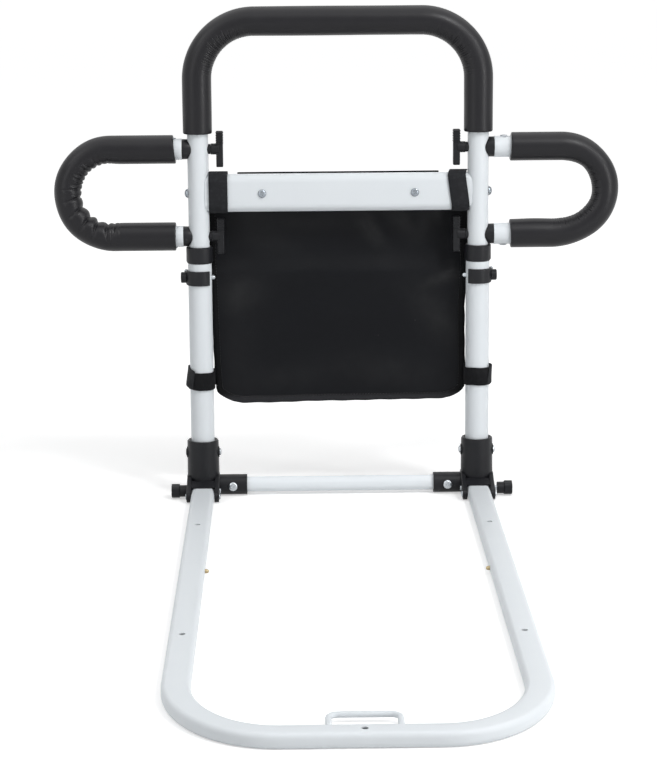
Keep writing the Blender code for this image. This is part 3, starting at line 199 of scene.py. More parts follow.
def light():
    world = bpy.context.scene.world = bpy.data.worlds.new("studio")
    world.use_nodes = True
    tree = world.node_tree
    tree.nodes.clear()
    out = tree.nodes.new("ShaderNodeOutputWorld")
    mix = tree.nodes.new("ShaderNodeMixShader")
    tree.links.new(seen_ray(tree), mix.inputs["Fac"])
    for slot, colour, strength in ((1, (0.96, 0.98, 1.0, 1), 0.10), (2, (1, 1, 1, 1), 1.0)):
        shader = tree.nodes.new("ShaderNodeBackground")
        shader.inputs["Color"].default_value = colour
        shader.inputs["Strength"].default_value = strength
        tree.links.new(shader.outputs[0], mix.inputs[slot])
    tree.links.new(mix.outputs[0], out.inputs["Surface"])
    for name, place, target, size, power in LAMPS:
        data = bpy.data.lights.new(name, "AREA")
        data.shape = "RECTANGLE"
        data.size, data.size_y = size
        data.energy = power
        obj = linked(name, data)
        obj.location = place
        obj.rotation_mode = "QUATERNION"
        obj.rotation_quaternion = (Vector(target) - Vector(place)).to_track_quat("-Z", "Y")


def maths(tree, operation, *values):
    """The result of a math node; each value is a number or a socket."""
    node = tree.nodes.new("ShaderNodeMath")
    node.operation = operation
    for socket, value in zip(node.inputs, values):
        if isinstance(value, (int, float)):
            socket.default_value = value
        else:
            tree.links.new(value, socket)
    return node.outputs[0]


def seen_ray(tree):
    """1 for rays that show the surface itself: straight, mirrored or through glass."""
    path = tree.nodes.new("ShaderNodeLightPath")
    direct = maths(tree, "MAXIMUM", path.outputs["Is Camera Ray"], path.outputs["Is Glossy Ray"])
    return maths(tree, "MAXIMUM", direct, path.outputs["Is Transmission Ray"])


def far_white(look):
    """What the lamps leave missing to white: less under the object than far away."""
    away = look.node("ShaderNodeVectorMath", {1: FLOOR_MIDDLE}, operation="DISTANCE")
    look.link(look.coords["Object"], away.inputs[0])
    value = away.outputs["Value"]
    steps = (
        ("DIVIDE", FLOOR_REACH), ("POWER", 2.0), ("ADD", 1.0), ("POWER", -1.0),
        ("MULTIPLY", -FLOOR_DIP), ("ADD", FLOOR_FAR),
    )
    for operation, number in steps:
        value = maths(look.tree, operation, value, number)
    return look.times(value, seen_ray(look.tree))


def floor():
    bm = bmesh.new()
    bmesh.ops.create_grid(bm, x_segments=1, y_segments=1, size=60)
    obj = mesh_object("floor", bm)
    sockets = {"Base_Color": (0.80, 0.80, 0.80, 1), "Emission_Color": (1, 1, 1, 1)}
    look = Look("floor", Roughness=0.9, Specular_IOR_Level=0.0, **sockets)
    look.link(far_white(look), look.shader.inputs["Emission Strength"])
    obj.data.materials.append(look.mat)


# Materials


class Look:
    """A Principled material and short ways to wire its procedural detail."""

    def __init__(self, name, **sockets):
        self.mat = bpy.data.materials.new(name)
        self.mat.use_nodes = True
        self.tree = self.mat.node_tree
        self.shader = self.tree.nodes["Principled BSDF"]
        for key, value in sockets.items():
            self.shader.inputs[key.replace("_", " ")].default_value = value
        self.coords = self.node("ShaderNodeTexCoord").outputs
        self.colour = self.normal = None

    def node(self, kind, sockets=None, **settings):
        made = self.tree.nodes.new(kind)
        for key, value in settings.items():
            setattr(made, key, value)
        for key, value in (sockets or {}).items():
            made.inputs[key].default_value = value
        return made

    def link(self, source, target):
        self.tree.links.new(source, target)

    def split(self, axis, kind="Object"):
        """One of the object or UV coordinates, in metres."""
        made = self.node("ShaderNodeSeparateXYZ")
        self.link(self.coords[kind], made.inputs[0])
        return made.outputs[axis]

    def noise(self, scale, detail, stretch=None):
        """Noise in object coordinates, drawn out by a triple if one is given."""
        made = self.node("ShaderNodeTexNoise", {"Scale": scale, "Detail": detail})
        place = self.coords["Object"]
        if stretch:
            mapping = self.node("ShaderNodeMapping", {"Scale": stretch})
            self.link(place, mapping.inputs["Vector"])
            place = mapping.outputs["Vector"]
        self.link(place, made.inputs["Vector"])
        return made.outputs["Fac"]

    def cells(self, scale):
        made = self.node("ShaderNodeTexVoronoi", {"Scale": scale})
        self.link(self.coords["Object"], made.inputs["Vector"])
        return made.outputs["Distance"]

    def ramp(self, value, low, high, a=0.0, b=1.0):
        made = self.node("ShaderNodeMapRange", {1: low, 2: high, 3: a, 4: b})
        self.link(value, made.inputs[0])
        return made.outputs[0]

    def waves(self, pitch, axis, kind="Object"):
        """Even ribs: the sine of one coordinate."""
        turn = maths(self.tree, "MULTIPLY", self.split(axis, kind), 2 * pi / pitch)
        return maths(self.tree, "SINE", turn)

    def times(self, a, b):
        return maths(self.tree, "MULTIPLY", a, b)

    def paint(self, value, second, first=(0, 0, 0)):
        """Mixes a colour in by a value: over what is there, or over the first one given."""
        made = self.node("ShaderNodeMix", {6: (*first, 1), 7: (*second, 1)}, data_type="RGBA")
        if self.colour is not None:
            self.link(self.colour, made.inputs[6])
        self.link(value, made.inputs[0])
        self.colour = made.outputs[2]

    def bump(self, height, strength, distance):
        made = self.node("ShaderNodeBump", {"Strength": strength, "Distance": distance})
        self.link(height, made.inputs["Height"])
        if self.normal is not None:
            self.link(self.normal, made.inputs["Normal"])
        self.normal = made.outputs["Normal"]

    def done(self, scale, detail, low, high):
        """The finished material; noise of a scale and detail takes its roughness from low to high."""
        rough = self.ramp(self.noise(scale, detail), 0.3, 0.7, low, high)
        for source, key in ((self.colour, "Base Color"), (rough, "Roughness"), (self.normal, "Normal")):
            self.link(source, self.shader.inputs[key])
        return self.mat


def white_paint(name, worn=0.0, pale=1.0):
    """Satin powder coat: a little orange peel, faint clouding, dust, and rubbed streaks if worn."""
    look = Look(name, Roughness=0.42, Specular_IOR_Level=0.28)
    # A pale above 1 makes a paler copy of the same paint: painted light
    low, high = toned((0.742, 0.782, 0.812), pale), toned((0.772, 0.808, 0.836), pale)
    look.paint(look.noise(9, 3), high, low)
    patches = look.ramp(look.noise(23, 1), 0.62, 0.68, 0, 0.35)
    dust = look.times(look.ramp(look.cells(150), 0.05, 0.03), patches)
    look.paint(dust, (0.60, 0.60, 0.60))
    if worn:
        rubs = look.ramp(look.noise(160, 3, (1, 1, 0.06)), 0.62, 0.74, 0, worn)
        look.paint(rubs, (0.55, 0.56, 0.58))
    look.bump(look.noise(700, 2), 0.05, 0.0002)
    return look.done(40, 2, 0.38, 0.48)


def black_plastic(name, tone=1.0):
    """Moulded plastic with a fine spark grain, paler where it is rubbed."""
    look = Look(name, Roughness=0.38, Specular_IOR_Level=0.22)
    dark, pale = toned((0.0085, 0.0089, 0.0108), tone), toned((0.0130, 0.0136, 0.0162), tone)
    look.paint(look.noise(70, 4), pale, dark)
    marks = look.ramp(look.noise(240, 2, (1, 0.25, 1)), 0.68, 0.76, 0, 0.35)
    look.paint(marks, (0.05, 0.05, 0.055))
    look.bump(look.noise(1800, 2), 0.22, 0.00015)
    return look.done(110, 3, 0.32, 0.46)


def foam_skin(name):
    """Skinned foam: satin black with fine pores and long soft unevenness."""
    look = Look(name, Roughness=0.36, Specular_IOR_Level=0.29)
    look.paint(look.noise(26, 4), (0.0060, 0.0058, 0.0080), (0.0038, 0.0036, 0.0052))
    look.bump(look.cells(1500), 0.14, 0.00015)
    look.bump(look.noise(420, 3), 0.12, 0.0003)
    look.bump(look.noise(38, 2), 0.10, 0.0012)
    return look.done(45, 4, 0.34, 0.43)


def bright_metal(name, tint, low=0.20, high=0.36):
    """Plated steel or brass: turned marks and small stains in the gloss."""
    look = Look(name, Metallic=1.0, Roughness=0.26)
    look.paint(look.noise(420, 3), toned(tint, 0.80), tint)
    look.bump(look.noise(2200, 2, (1, 1, 0.3)), 0.15, 0.0001)
    return look.done(700, 3, low, high)


def coated_cloth(name, first, second, weave=0.0009, spec=0.14):
    """Coated woven cloth: a fine plain weave under a dull coating, a painted highlight on the crests of its
    creases, and dust specks.
    """
    look = Look(name, Roughness=0.5, Specular_IOR_Level=spec)
    look.paint(look.noise(15, 4), second, first)
    threads = look.times(look.waves(weave, "X"), look.waves(weave, "Z"))
    look.paint(look.ramp(threads, -1, 1, 0, 0.35), toned(second, 1.9))
    dust = look.times(look.ramp(look.cells(85), 0.03, 0.018), look.ramp(look.noise(12, 1), 0.60, 0.64))
    look.paint(dust, (0.20, 0.20, 0.20))
    # Painted highlight: a patchy paler colour on the crease crests, in place of the lamps' gloss there
    rub = look.node("ShaderNodeAttribute", attribute_name="rub").outputs["Fac"]
    patchy_crest_highlight = look.times(rub, look.ramp(look.noise(60, 4), 0.25, 0.75, 0.5, 1.0))
    look.paint(patchy_crest_highlight, (0.0240, 0.0244, 0.0256))
    look.bump(threads, 0.12, 0.0002)
    look.bump(look.noise(240, 4), 0.12, 0.0004)
    return look.done(30, 4, 0.40, 0.54)


def webbing(name, first, second, along, across):
    """Woven tape: ribs along its UV width and picks along its length."""
    look = Look(name, Roughness=0.7, Specular_IOR_Level=0.10, Sheen_Weight=0.02)
    ribs = look.waves(along, "X", "UV")
    look.paint(look.ramp(ribs, -1, 1, 0, 0.7), second, first)
    look.paint(look.ramp(look.noise(220, 3), 0.5, 0.8, 0, 0.5), toned(second, 1.5))
    look.bump(ribs, 0.35, 0.0004)
    look.bump(look.waves(across, "Y", "UV"), 0.15, 0.0002)
    return look.done(90, 3, 0.58, 0.76)


def edge_tape(name):
    """Folded tape: dull black up the sides as painted shade, and greyer along the bottom as painted light,
    where it faces the lamps.
    """
    look = Look(name, Roughness=0.62, Specular_IOR_Level=0.10)
    # Painted light: greyer along the bottom edge, which faces the lamps; painted shade: darker black up the
    # sides
    low = look.ramp(look.split("Z"), POUCH_BOTTOM_Z + 0.012, POUCH_BOTTOM_Z + 0.006)
    look.paint(low, (0.0270, 0.0272, 0.0300), (0.0022, 0.0023, 0.0027))
    grain = look.ramp(look.noise(420, 3), 0.35, 0.75, 0, 0.35)
    look.paint(grain, (0.0120, 0.0124, 0.0140))
    look.bump(look.waves(0.0008, "X"), 0.12, 0.0002)
    look.bump(look.noise(300, 3), 0.2, 0.0004)
    return look.done(60, 3, 0.52, 0.70)


# Meshes


def mesh_object(name, bm):
    mesh = bpy.data.meshes.new(name)
    bm.to_mesh(mesh)
    bm.free()
    return linked(name, mesh)


def shaded(mesh, angle):
    mesh.shade_smooth()
    if angle is not None:
        mesh.set_sharp_from_angle(angle=radians(angle))


def piece(name, bm, mat, angle=None, body="upper"):
    """A bmesh made into a piece that rides on a body, or on none where no body is given."""
    bmesh.ops.recalc_face_normals(bm, faces=bm.faces)
    obj = mesh_object(name, bm)
    obj.data.materials.append(mat)
    shaded(obj.data, angle)
    if body is not None:
        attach(obj, body)
    return obj


def modified(obj, kind, **settings):
    made = obj.modifiers.new(kind, kind)
    for key, value in settings.items():
        setattr(made, key, value)


def thickened(obj, thickness):
    modified(obj, "SOLIDIFY", thickness=thickness, offset=0.0, use_even_offset=True)
    return obj


def stands_for(made, node):
    """Hides the node that a piece stands for, and gives the piece back."""
    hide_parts(node)
    return made


def arc(centre, radius, start, end, steps):
    (cu, cv), (ru, rv) = centre, radius
    return [(cu + ru * cos(t), cv + rv * sin(t)) for t in spaced(start, end, steps)]


def rounded_rectangle(width, height, radius, steps=5):
    u, v = width / 2 - radius, height / 2 - radius
    points = []
    for i, centre in enumerate(((u, v), (-u, v), (-u, -v), (u, -v))):
        points += arc(centre, (radius, radius), i * pi / 2, (i + 1) * pi / 2, steps)
    return points


def skinned(rings, filled=False, bm=None):
    """A mesh with faces from each ring of points, or pole of one, to the next.

    The last ring joins the first, or both are filled.
    """
    bm = bmesh.new() if bm is None else bm
    rings = [[bm.verts.new(point) for point in ring] for ring in rings]
    for a, b in zip(rings, rings[1:] if filled else rings[1:] + rings[:1]):
        for j in range(max(len(a), len(b))):
            k = j + 1
            corners = (a[j % len(a)], a[k % len(a)], b[k % len(b)], b[j % len(b)])
            bm.faces.new(dict.fromkeys(corners))
    if filled and len(rings[0]) > 1:
        bm.faces.new(rings[0][::-1])
        bm.faces.new(rings[-1])
    return bm


class Path:
    """A flat path through points, read by length; inward is the side of its bends."""

    def __init__(self, points, normal, inward):
        points = np.array(points, float)
        self.points = points[np.concatenate([[True], np.diff(lengths(points)) > 1e-7])]
        self.at = lengths(self.points)
        self.length = float(self.at[-1])
        self.normal = np.array(normal, float)
        self.inward = inward

    def place(self, s):
        return np.array([np.interp(s, self.at, self.points[:, k]) for k in range(3)])

    def frame(self, s):
        h = 0.0012
        ahead = self.place(min(s + h, self.length)) - self.place(max(s - h, 0))
        ahead /= np.linalg.norm(ahead)
        side = np.cross(self.normal, ahead) * self.inward
        return ahead, side / np.linalg.norm(side)

    def ring(self, s, outline):
        """An outline of (inward, up) pairs, set across the path."""
        base, (_, side) = self.place(s), self.frame(s)
        return [base + side * u + self.normal * v for u, v in outline]


def sleeve(path, outer, bore, roll, sides, step, swell=None, tilt=(0.0, 0.0), lines=()):
    """A closed tube wall about a path, with rolled ends; swell(s, turn) moves its outer skin.

    The rings of the skin are set closer along its fine creases, and creep with them.
    """
    length, places = path.length, {}
    for line in lines:
        for away in LINE_RINGS:
            places[round(line[0] + away, 6)] = line
    for s in spaced(roll, length - roll, max(2, round((length - 2 * roll) / step))):
        line = nearest(lines, s)
        gap = abs(line[0] - s) if line else 1.0
        if gap > LINE_CLEAR:
            places[round(s, 6)] = line if gap < LINE_REACH else None
    lip = [(roll * sin(a), outer - roll + roll * cos(a)) for a in spaced(0, pi / 2, 4)[1:]]
    stations = [(s, outer, True) for s in sorted(places)]
    stations += [(length - roll + along, r, True) for along, r in lip]
    stations += [(s, bore, False) for s in spaced(length, 0, max(2, round(length / (step * 2.5))))]
    stations += [(roll - along, r, True) for along, r in reversed(lip)]
    rings = []
    for s, r, skin in stations:
        base = path.place(s)
        ahead, side = path.frame(s)
        ring = []
        for turn in around(sides):
            reach = r + (swell(s, turn) if swell and skin else 0.0)
            across = side * cos(turn) + path.normal * sin(turn)
            lean = drift(places[s], turn) if skin and places.get(s) else 0.0
            for away, slant in zip((s, length - s), tilt):
                if away < TILT_REACH:
                    lean = slant * cos(turn) * reach / outer * (1 - away / TILT_REACH)
            ring.append(base + across * reach + ahead * lean)
        rings.append(ring)
    return skinned(rings)


# Grips and handles


def u_outline(foot, bends, radius, middle, steps):
    """A flat U between the uprights, from the levels of its feet and its bends and its middle's angle."""
    x = UPRIGHT_X - radius[0]
    left = arc((-x, bends), radius, pi, middle, steps)
    right = arc((x, bends), radius, middle, 2 * middle - pi, steps)
    return [(-UPRIGHT_X, foot), *left, *right, (UPRIGHT_X, foot)]


def handle_path(label, start_x):
    """Out along the lower leg, round the eased bend and back along the upper leg."""
    side, radius, far = SIDES[label], HANDLE_BEND_R, HANDLE_OUT_X[label]
    run = radius + HANDLE_EASE[label]
    low = arc((far - run, HANDLE_MIDDLE_Z), (run, radius), -pi / 2, 0, 32)
    high = arc((far - radius, HANDLE_MIDDLE_Z), (radius, radius), 0, pi / 2, 32)
    flat = [(start_x, HANDLE_LOW_Z), *low, *high, (start_x, HANDLE_HIGH_Z)]
    return Path([(side * u, 0, v) for u, v in flat], BACK, -side)


def bend_angle(label, path, s):
    """Degrees round a handle's bend: -90 where it leaves the lower leg, 90 at the upper one."""
    x, _, z = path.place(s)
    rise = z - HANDLE_MIDDLE_Z
    run = HANDLE_BEND_R + (HANDLE_EASE[label] if rise < 0 else 0)
    past = (abs(x) - HANDLE_OUT_X[label] + run) / run
    if past < 0:
        return copysign(90 - degrees(past), rise)
    return degrees(atan2(rise / HANDLE_BEND_R, past))


def bellows(angle):
    """Height of the left grip's gathered skin at an angle: pillows between its creases."""
    if angle > LEFT_CREASES[0][0]:
        for (a, _), (b, rise) in zip(LEFT_CREASES, LEFT_CREASES[1:]):
            if angle < b:
                share = (angle - a) / (b - a)
                return rise * (0.40 - abs(2 * share - 1) ** 2.1)
    return 0.0


LEFT_CREASES = [
    # angle in degrees and height in millimetres
    (-97, 0.5), (-89, 0.9), (-80, 1.7), (-62, 3.0), (-46, 3.7), (-24, 3.6), (-5, 2.6), (8, 2.0),
    (17, 1.6), (24, 1.5), (33, 1.8), (43, 1.8), (52, 1.9), (63, 1.8), (73, 1.5), (83, 1.0), (90, 0.4),
]


def side_swell(label, path):
    """How the skin of a side grip is squeezed and gathered on the inside of its bend."""
    straight = abs(HANDLE_OUT_X[label] - HANDLE_BEND_R - HANDLE_EASE[label] - GRIP_START[label])
    bend = HANDLE_BEND_R * pi / 2
    left = label == "L"
    if left:
        lines = fine_lines(straight - 0.004, straight + 0.012, 0.0040, 0.0007, 1.7, 12)
        lines += fine_lines(straight + 0.9 * bend, straight + 1.55 * bend, 0.0052, 0.0009, 1.6, 13)
    else:
        lines = fine_lines(straight, straight + 2 * bend, 0.0036, 0.0009, 1.35, 14)
    squeezed_to, squeezed_by = (104, 2.2) if left else (84, 2.5)

    def swell(s, turn):
        angle = bend_angle(label, path, s)
        turn = folded(turn)
        ends = eased((squeezed_to - abs(angle)) / 40)
        inside = cos(turn / 2) ** 4
        height = -squeezed_by * ends * inside
        if left:
            wander = 1.6 * sin(2.3 * turn + 0.35 * angle) * turn
            hold = eased(1.7 * (1 - turn / radians(134 if angle < 12 else 108)))
            height += bellows(angle + wander) * hold
        else:
            height += 0.9 * exp(-(((angle + 106) / 20) ** 2)) * inside
        soft = 0.25 * sin(0.11 * angle + 2.0 * turn) * ends
        return max(-4.0, height + soft) / 1000 - line_depth(lines, s, turn)

    return swell, lines


def fine_lines(start, end, pitch, depth, reach, seed):
    """Sharp small creases across a stretch of skin: (place, depth, reach in radians, lean, phase) of each."""
    state = np.random.default_rng(seed)
    made, s = [], start
    while s < end:
        share = (s - start) / (end - start)
        swell = sin(pi * share) ** 0.5 if 0 < share < 1 else 0.0
        deep = depth * state.uniform(0.5, 1.2) * swell
        far = reach * state.uniform(0.72, 1.12) * (0.6 + 0.4 * swell)
        made.append((s, deep, far, state.uniform(-1, 1), state.uniform(0, 6.28)))
        s += pitch * state.uniform(0.7, 1.3)
    return made


def nearest(lines, s):
    return min(lines, key=lambda line: abs(line[0] - s), default=None)


def drift(line, turn):
    """How far a fine crease creeps along the path on its way round."""
    turn = folded(turn)
    return LINE_DRIFT * (sin(2.1 * turn + line[4]) + line[3]) * clamped(2.2 - turn)


def line_depth(lines, s, turn):
    """How deep the fine creases are at a place on the skin."""
    place, depth, reach, _, _ = nearest(lines, s)
    away = abs(s - place)
    if away > LINE_HALF:
        return 0.0
    return depth * eased((reach - turn) / (0.35 * reach)) * (1 - away / LINE_HALF) ** 3


def top_swell(path):
    """Faint unevenness of the long top grip, and the fine creases inside its bends."""
    first = ARCH_Z - ARCH_BEND_R - TOP_GRIP_END_Z
    quarter = ARCH_BEND_R * pi / 2
    lines = fine_lines(first + 0.004, first + quarter, 0.0029, 0.00085, 1.75, 5)
    last = path.length - first - quarter
    lines += fine_lines(last, last + quarter - 0.002, 0.0029, 0.00085, 1.70, 6)

    def swell(s, turn):
        turn = folded(turn)
        return 0.00012 * sin(s * 33) * cos(turn * 2) - line_depth(lines, s, turn)

    return swell, lines


def grips():
    skin = foam_skin("foam_skin")
    arch = u_outline(TOP_GRIP_END_Z, ARCH_Z - ARCH_BEND_R, (ARCH_BEND_R, ARCH_BEND_R), pi / 2, 32)
    path = Path([(u, 0, v) for u, v in arch], BACK, 1)
    swell, lines = top_swell(path)
    bm = sleeve(path, TOP_FOAM_R, GRIP_BORE, 0.0016, 72, 0.0018, swell, lines=lines)
    rows = [("top_grip_foam", "top_grip", bm)]
    for label in SIDES:
        path = handle_path(label, GRIP_START[label])
        tilt = (0.0, 0.0016) if label == "L" else (-0.0006, 0.0008)
        swell, lines = side_swell(label, path)
        bm = sleeve(path, SIDE_FOAM_R, GRIP_BORE, 0.0014, 80, 0.0009, swell, tilt, lines)
        rows.append((f"side_grip_foam_{label}", f"side_grip_{label}", bm))
    for name, node, bm in rows:
        made = stands_for(piece(name, bm, skin), node)


def side_tubes(paint):
    for label in SIDES:
        path = handle_path(label, HANDLE_END_X)
        bm = sleeve(path, TUBE_R, TUBE_R - TUBE_WALL, 0.0003, 48, 0.004)
        stands_for(piece(f"side_tube_{label}", bm, paint, 50), f"side_handle_{label}")


# Base frame


def cut_by(obj, tools):
    """Takes other objects out of a piece, and deletes them."""
    for tool in tools:
        modified(obj, "BOOLEAN", operation="DIFFERENCE", solver="EXACT", object=tool)
    bpy.context.view_layer.update()
    graph = bpy.context.evaluated_depsgraph_get()
    obj.data = bpy.data.meshes.new_from_object(obj.evaluated_get(graph))
    obj.modifiers.clear()
    for tool in tools:
        bpy.data.objects.remove(tool, do_unlink=True)
    shaded(obj.data, 40)


def rod(start, end, radius):
    start, end = Vector(start), Vector(end)
    bm = bmesh.new()
    bmesh.ops.create_cone(
        bm, cap_ends=True, segments=28, radius1=radius, radius2=radius, depth=(end - start).length,
        matrix=aimed((start + end) / 2, (end - start).normalized()),
    )
    return mesh_object("rod", bm)


def base_frame(paint):
    flat = u_outline(LEG_END_Y, BASE_BEND_Y, (BASE_BEND_X, BASE_BEND_Y - BASE_BAR_Y), 1.5 * pi, 40)
    path = Path([(u, v, LEG_HEIGHT / 2) for u, v in flat], UP, 1)
    outer = rounded_rectangle(LEG_WIDTH, LEG_HEIGHT, 0.0053, 6)
    inner = rounded_rectangle(LEG_WIDTH - 2 * LEG_WALL, LEG_HEIGHT - 2 * LEG_WALL, 0.0038, 6)
    places = spaced(0, path.length, round(path.length / 0.009))
    rings = [path.ring(s, outer) for s in places] + [path.ring(s, inner) for s in reversed(places)]
    made = piece("base_tube", skinned(rings), paint, 40, "base")
    middle, above, hole_r, hole_ys = LEG_HEIGHT / 2, LEG_HEIGHT + 0.004, 0.0033, (-0.1985, -0.6113)
    hole_x, wire_x, wire_half, wire_z = 0.0025, 0.0036, 0.0323, 0.0070
    button_y, pivot_y, inner_x, outer_x = -0.366, -0.040, 0.14, 0.196
    tools = [rod((hole_x, BASE_BAR_Y, middle), (hole_x, BASE_BAR_Y, above), hole_r)]
    for side in SIDES.values():
        x, inside, wire = side * UPRIGHT_X, side * inner_x, wire_x + side * wire_half
        tools += [rod((x, y, middle), (x, y, above), hole_r) for y in hole_ys]
        tools += [
            rod((x, button_y, middle), (inside, button_y, middle), 0.0030),
            rod((inside, pivot_y, middle), (side * outer_x, pivot_y, middle), 0.0031),
            rod((wire, BASE_BAR_Y, wire_z), (wire, BASE_BAR_Y + LEG_WIDTH, wire_z), 0.0034),
        ]
    cut_by(made, tools)
    stands_for(made, "base_frame")


# Pouch


CORNERS = (
    # heights over the bottom edge and half widths there, up the left lower corner and the right one
    (
        (0.0, 0.0006, 0.0022, 0.0053, 0.0091, 0.0130, 0.0175, 0.0420, 0.1350, 0.1900),
        (0.1180, 0.1258, 0.1312, 0.1373, 0.1435, 0.1487, 0.1503, 0.1522, 0.1548, 0.1566),
    ),
    (
        (0.0, 0.0008, 0.0034, 0.0076, 0.0119, 0.0159, 0.0420, 0.1150, 0.1500, 0.1900),
        (0.1250, 0.1330, 0.1399, 0.1463, 0.1504, 0.1528, 0.1536, 0.1526, 0.1545, 0.1566),
    ),
)


def half_width(z, side):
    """Half the pouch's width on the side that a number's sign gives."""
    shoulder, neck = BEAM_Z - BEAM_HEIGHT / 2, POUCH_TOP_Z - 0.010
    if z > shoulder:
        share = min(1.0, (z - shoulder) / (neck - shoulder))
        return POUCH_SHOULDER_HALF + (POUCH_TOP_HALF - POUCH_SHOULDER_HALF) * share
    rises, halves = CORNERS[1 if side > 0 else 0]
    return float(np.interp(z - POUCH_BOTTOM_Z, rises, halves))


DENTS = [
    # place x, z, reach along, reach across, turn in degrees, height in metres
    (0.034, 0.328, 0.026, 0.0075, 123, 0.0026),
    (0.049, 0.334, 0.030, 0.0090, 123, -0.0024),
    (0.074, 0.336, 0.022, 0.0080, 131, 0.0020),
    (0.088, 0.342, 0.024, 0.0080, 135, -0.0020),
    (0.108, 0.334, 0.022, 0.0100, 60, 0.0016),
    (0.123, 0.344, 0.012, 0.0050, 100, 0.0016),
    (0.127, 0.265, 0.019, 0.0050, 20, 0.0034),
    (0.124, 0.278, 0.028, 0.0085, 24, -0.0028),
    (0.118, 0.219, 0.042, 0.0150, 124, 0.0019),
    (0.100, 0.236, 0.044, 0.0150, 124, -0.0016),
    (-0.121, 0.247, 0.026, 0.0150, 20, 0.0024),
    (-0.108, 0.270, 0.040, 0.0150, 22, -0.0020),
    (-0.094, 0.318, 0.044, 0.0180, 150, 0.0012),
    (-0.050, 0.337, 0.055, 0.0100, 176, 0.0014),
    (-0.125, 0.180, 0.060, 0.0180, 88, 0.0008),
    (0.010, 0.185, 0.090, 0.0300, 8, -0.0012),
    (0.060, 0.150, 0.060, 0.0160, 172, 0.0012),
    (-0.070, 0.142, 0.050, 0.0130, 6, 0.0009),
]


def dents(x, z, long=1.0, wide=1.0, lowest=-1.0):
    """The creases' height at a place, each drawn out by two factors; lowest 0 leaves out the hollows."""
    total = 0.0
    for cx, cz, along, across, turn, height in DENTS:
        t = radians(turn)
        u = ((x - cx) * cos(t) + (z - cz) * sin(t)) / along / long
        v = ((z - cz) * cos(t) - (x - cx) * sin(t)) / across / wide
        total += max(lowest, height) * exp(-(u**2) - v**2)
    return total


def front_y(x, z):
    """Where the front panel hangs: further back where the lower T-knobs need room to turn."""
    hang = POUCH_Y + (POUCH_LOW_Y - POUCH_Y) * eased(1 - ((z - HANDLE_LOW_Z) / 0.052) ** 2)
    u = min(1.0, abs(x) / half_width(z, x))
    calm = clamped((POUCH_TOP_Z - 0.0425 - z) / 0.016) * (1 - u**8)
    slow = 0.0006 * sin(31 * x + 17 * z) + 0.0005 * sin(55 * x - 39 * z + 1)
    return hang + 0.0017 + calm * (slow - dents(x, z) + 0.0006)


def back_y(x, z):
    u = min(1.0, abs(x) / half_width(z, x))
    full = (1 - u**3) * sqrt(clamped((z - POUCH_BOTTOM_Z) / 0.05))
    fold = 0.0012 * sin(70 * x + 4 * sin(19 * z)) + 0.0009 * sin(44 * z + 30 * x)
    sag = 0.0016 * exp(-(((z - 0.155) / 0.03) ** 2))
    return front_y(x, z) + 0.0012 + full * (0.0186 + fold + sag)


def hung(share, z):
    """Where a level line of the pouch hangs: the bottom edge rises a little to the right."""
    return z + 0.0016 + 0.0016 * share * max(0.0, 1 - (z - POUCH_BOTTOM_Z) / 0.05)


def quilted(bm, grid):
    """Quads between rows of (vertex, uv) pairs."""
    uv = bm.loops.layers.uv.new("UVMap")
    for a, b in zip(grid, grid[1:]):
        for corners in zip(a, a[1:], b[1:], b):
            face = bm.faces.new([vert for vert, _ in corners])
            for loop, (_, place) in zip(face.loops, corners):
                loop[uv].uv = place
    return bm


def sheet_mesh(rows):
    """A sheet from rows of (point, uv) pairs."""
    bm = bmesh.new()
    return quilted(bm, [[(bm.verts.new(point), place) for point, place in row] for row in rows])


def panel(name, top, steps, depth, cloth):
    """A sheet of the pouch from its bottom edge up to a height, closer meshed round the corners."""
    levels = spaced(POUCH_BOTTOM_Z, POUCH_BOTTOM_Z + 0.0165, 8)
    levels += spaced(levels[-1], top, steps)[1:]
    rows = []
    for z in levels:
        row = [(share * half_width(z, share), hung(share, z)) for share in spaced(-1, 1, 104)]
        rows.append([((x, depth(x, z), up), (x, up)) for x, up in row])
    return thickened(piece(name, sheet_mesh(rows), cloth), CLOTH_GAUGE)


def edge_line():
    """Down the left edge of the pouch, along its bottom and up the right edge."""
    heights = spaced(MOUTH_Z + 0.003, POUCH_BOTTOM_Z + 0.0001, 120)
    left, right = half_width(POUCH_BOTTOM_Z, -1), half_width(POUCH_BOTTOM_Z, 1)
    points = [(-half_width(z, -1), z) for z in heights]
    points += [(x, POUCH_BOTTOM_Z) for x in spaced(-left, right, 60)[1:-1]]
    points += [(half_width(z, 1), z) for z in reversed(heights)]
    made = [(x, (front_y(x, z) + back_y(x, z)) / 2, hung(x / half_width(z, x), z)) for x, z in points]
    return np.array(made)


def taped(rings, runs, pitch, closed=False):
    """A tape from rings of points, with UVs of the length run and the place across."""
    bm = bmesh.new()
    rings = [[bm.verts.new(point) for point in ring] for ring in rings]
    if closed:
        rings, runs = rings + rings[:1], [*runs, runs[-1] + 0.003]
    turns = [*range(len(rings[0])), 0]
    quilted(bm, [[(ring[j], (run, j * pitch)) for j in turns] for ring, run in zip(rings, runs)])
    if not closed:
        bm.faces.new(rings[0][::-1])
        bm.faces.new(rings[-1])
    return bm


def binding(line, tape):
    """A folded tape sewn over the edges, deeper along the bottom than up the sides."""
    runs = lengths(line)
    rings = []
    for i, (spot, run) in enumerate(zip(line, runs)):
        inward = np.cross(FRONT, line[min(i + 2, len(line) - 1)] - line[max(i - 2, 0)])
        inward /= np.linalg.norm(inward)
        reach = EDGE_REACH + 0.0010 * max(0.0, 1 - abs(spot[2] - POUCH_BOTTOM_Z) / 0.012)
        half = ((reach, 0.75), (reach * 0.6, 1.0), (0.0012, 1.0), (-0.0006, 0.6))
        outline = [(a, -EDGE_HALF * b) for a, b in half] + [(-0.0010, 0.0)]
        outline += [(a, EDGE_HALF * b) for a, b in reversed(half)]
        wave = 0.00025 * sin(run * 210) + 0.00015 * sin(run * 77)
        rings.append([spot + inward * (a + wave) + np.array(BACK) * b for a, b in outline])
    return piece("pouch_binding", taped(rings, runs, 0.002), tape, 70)


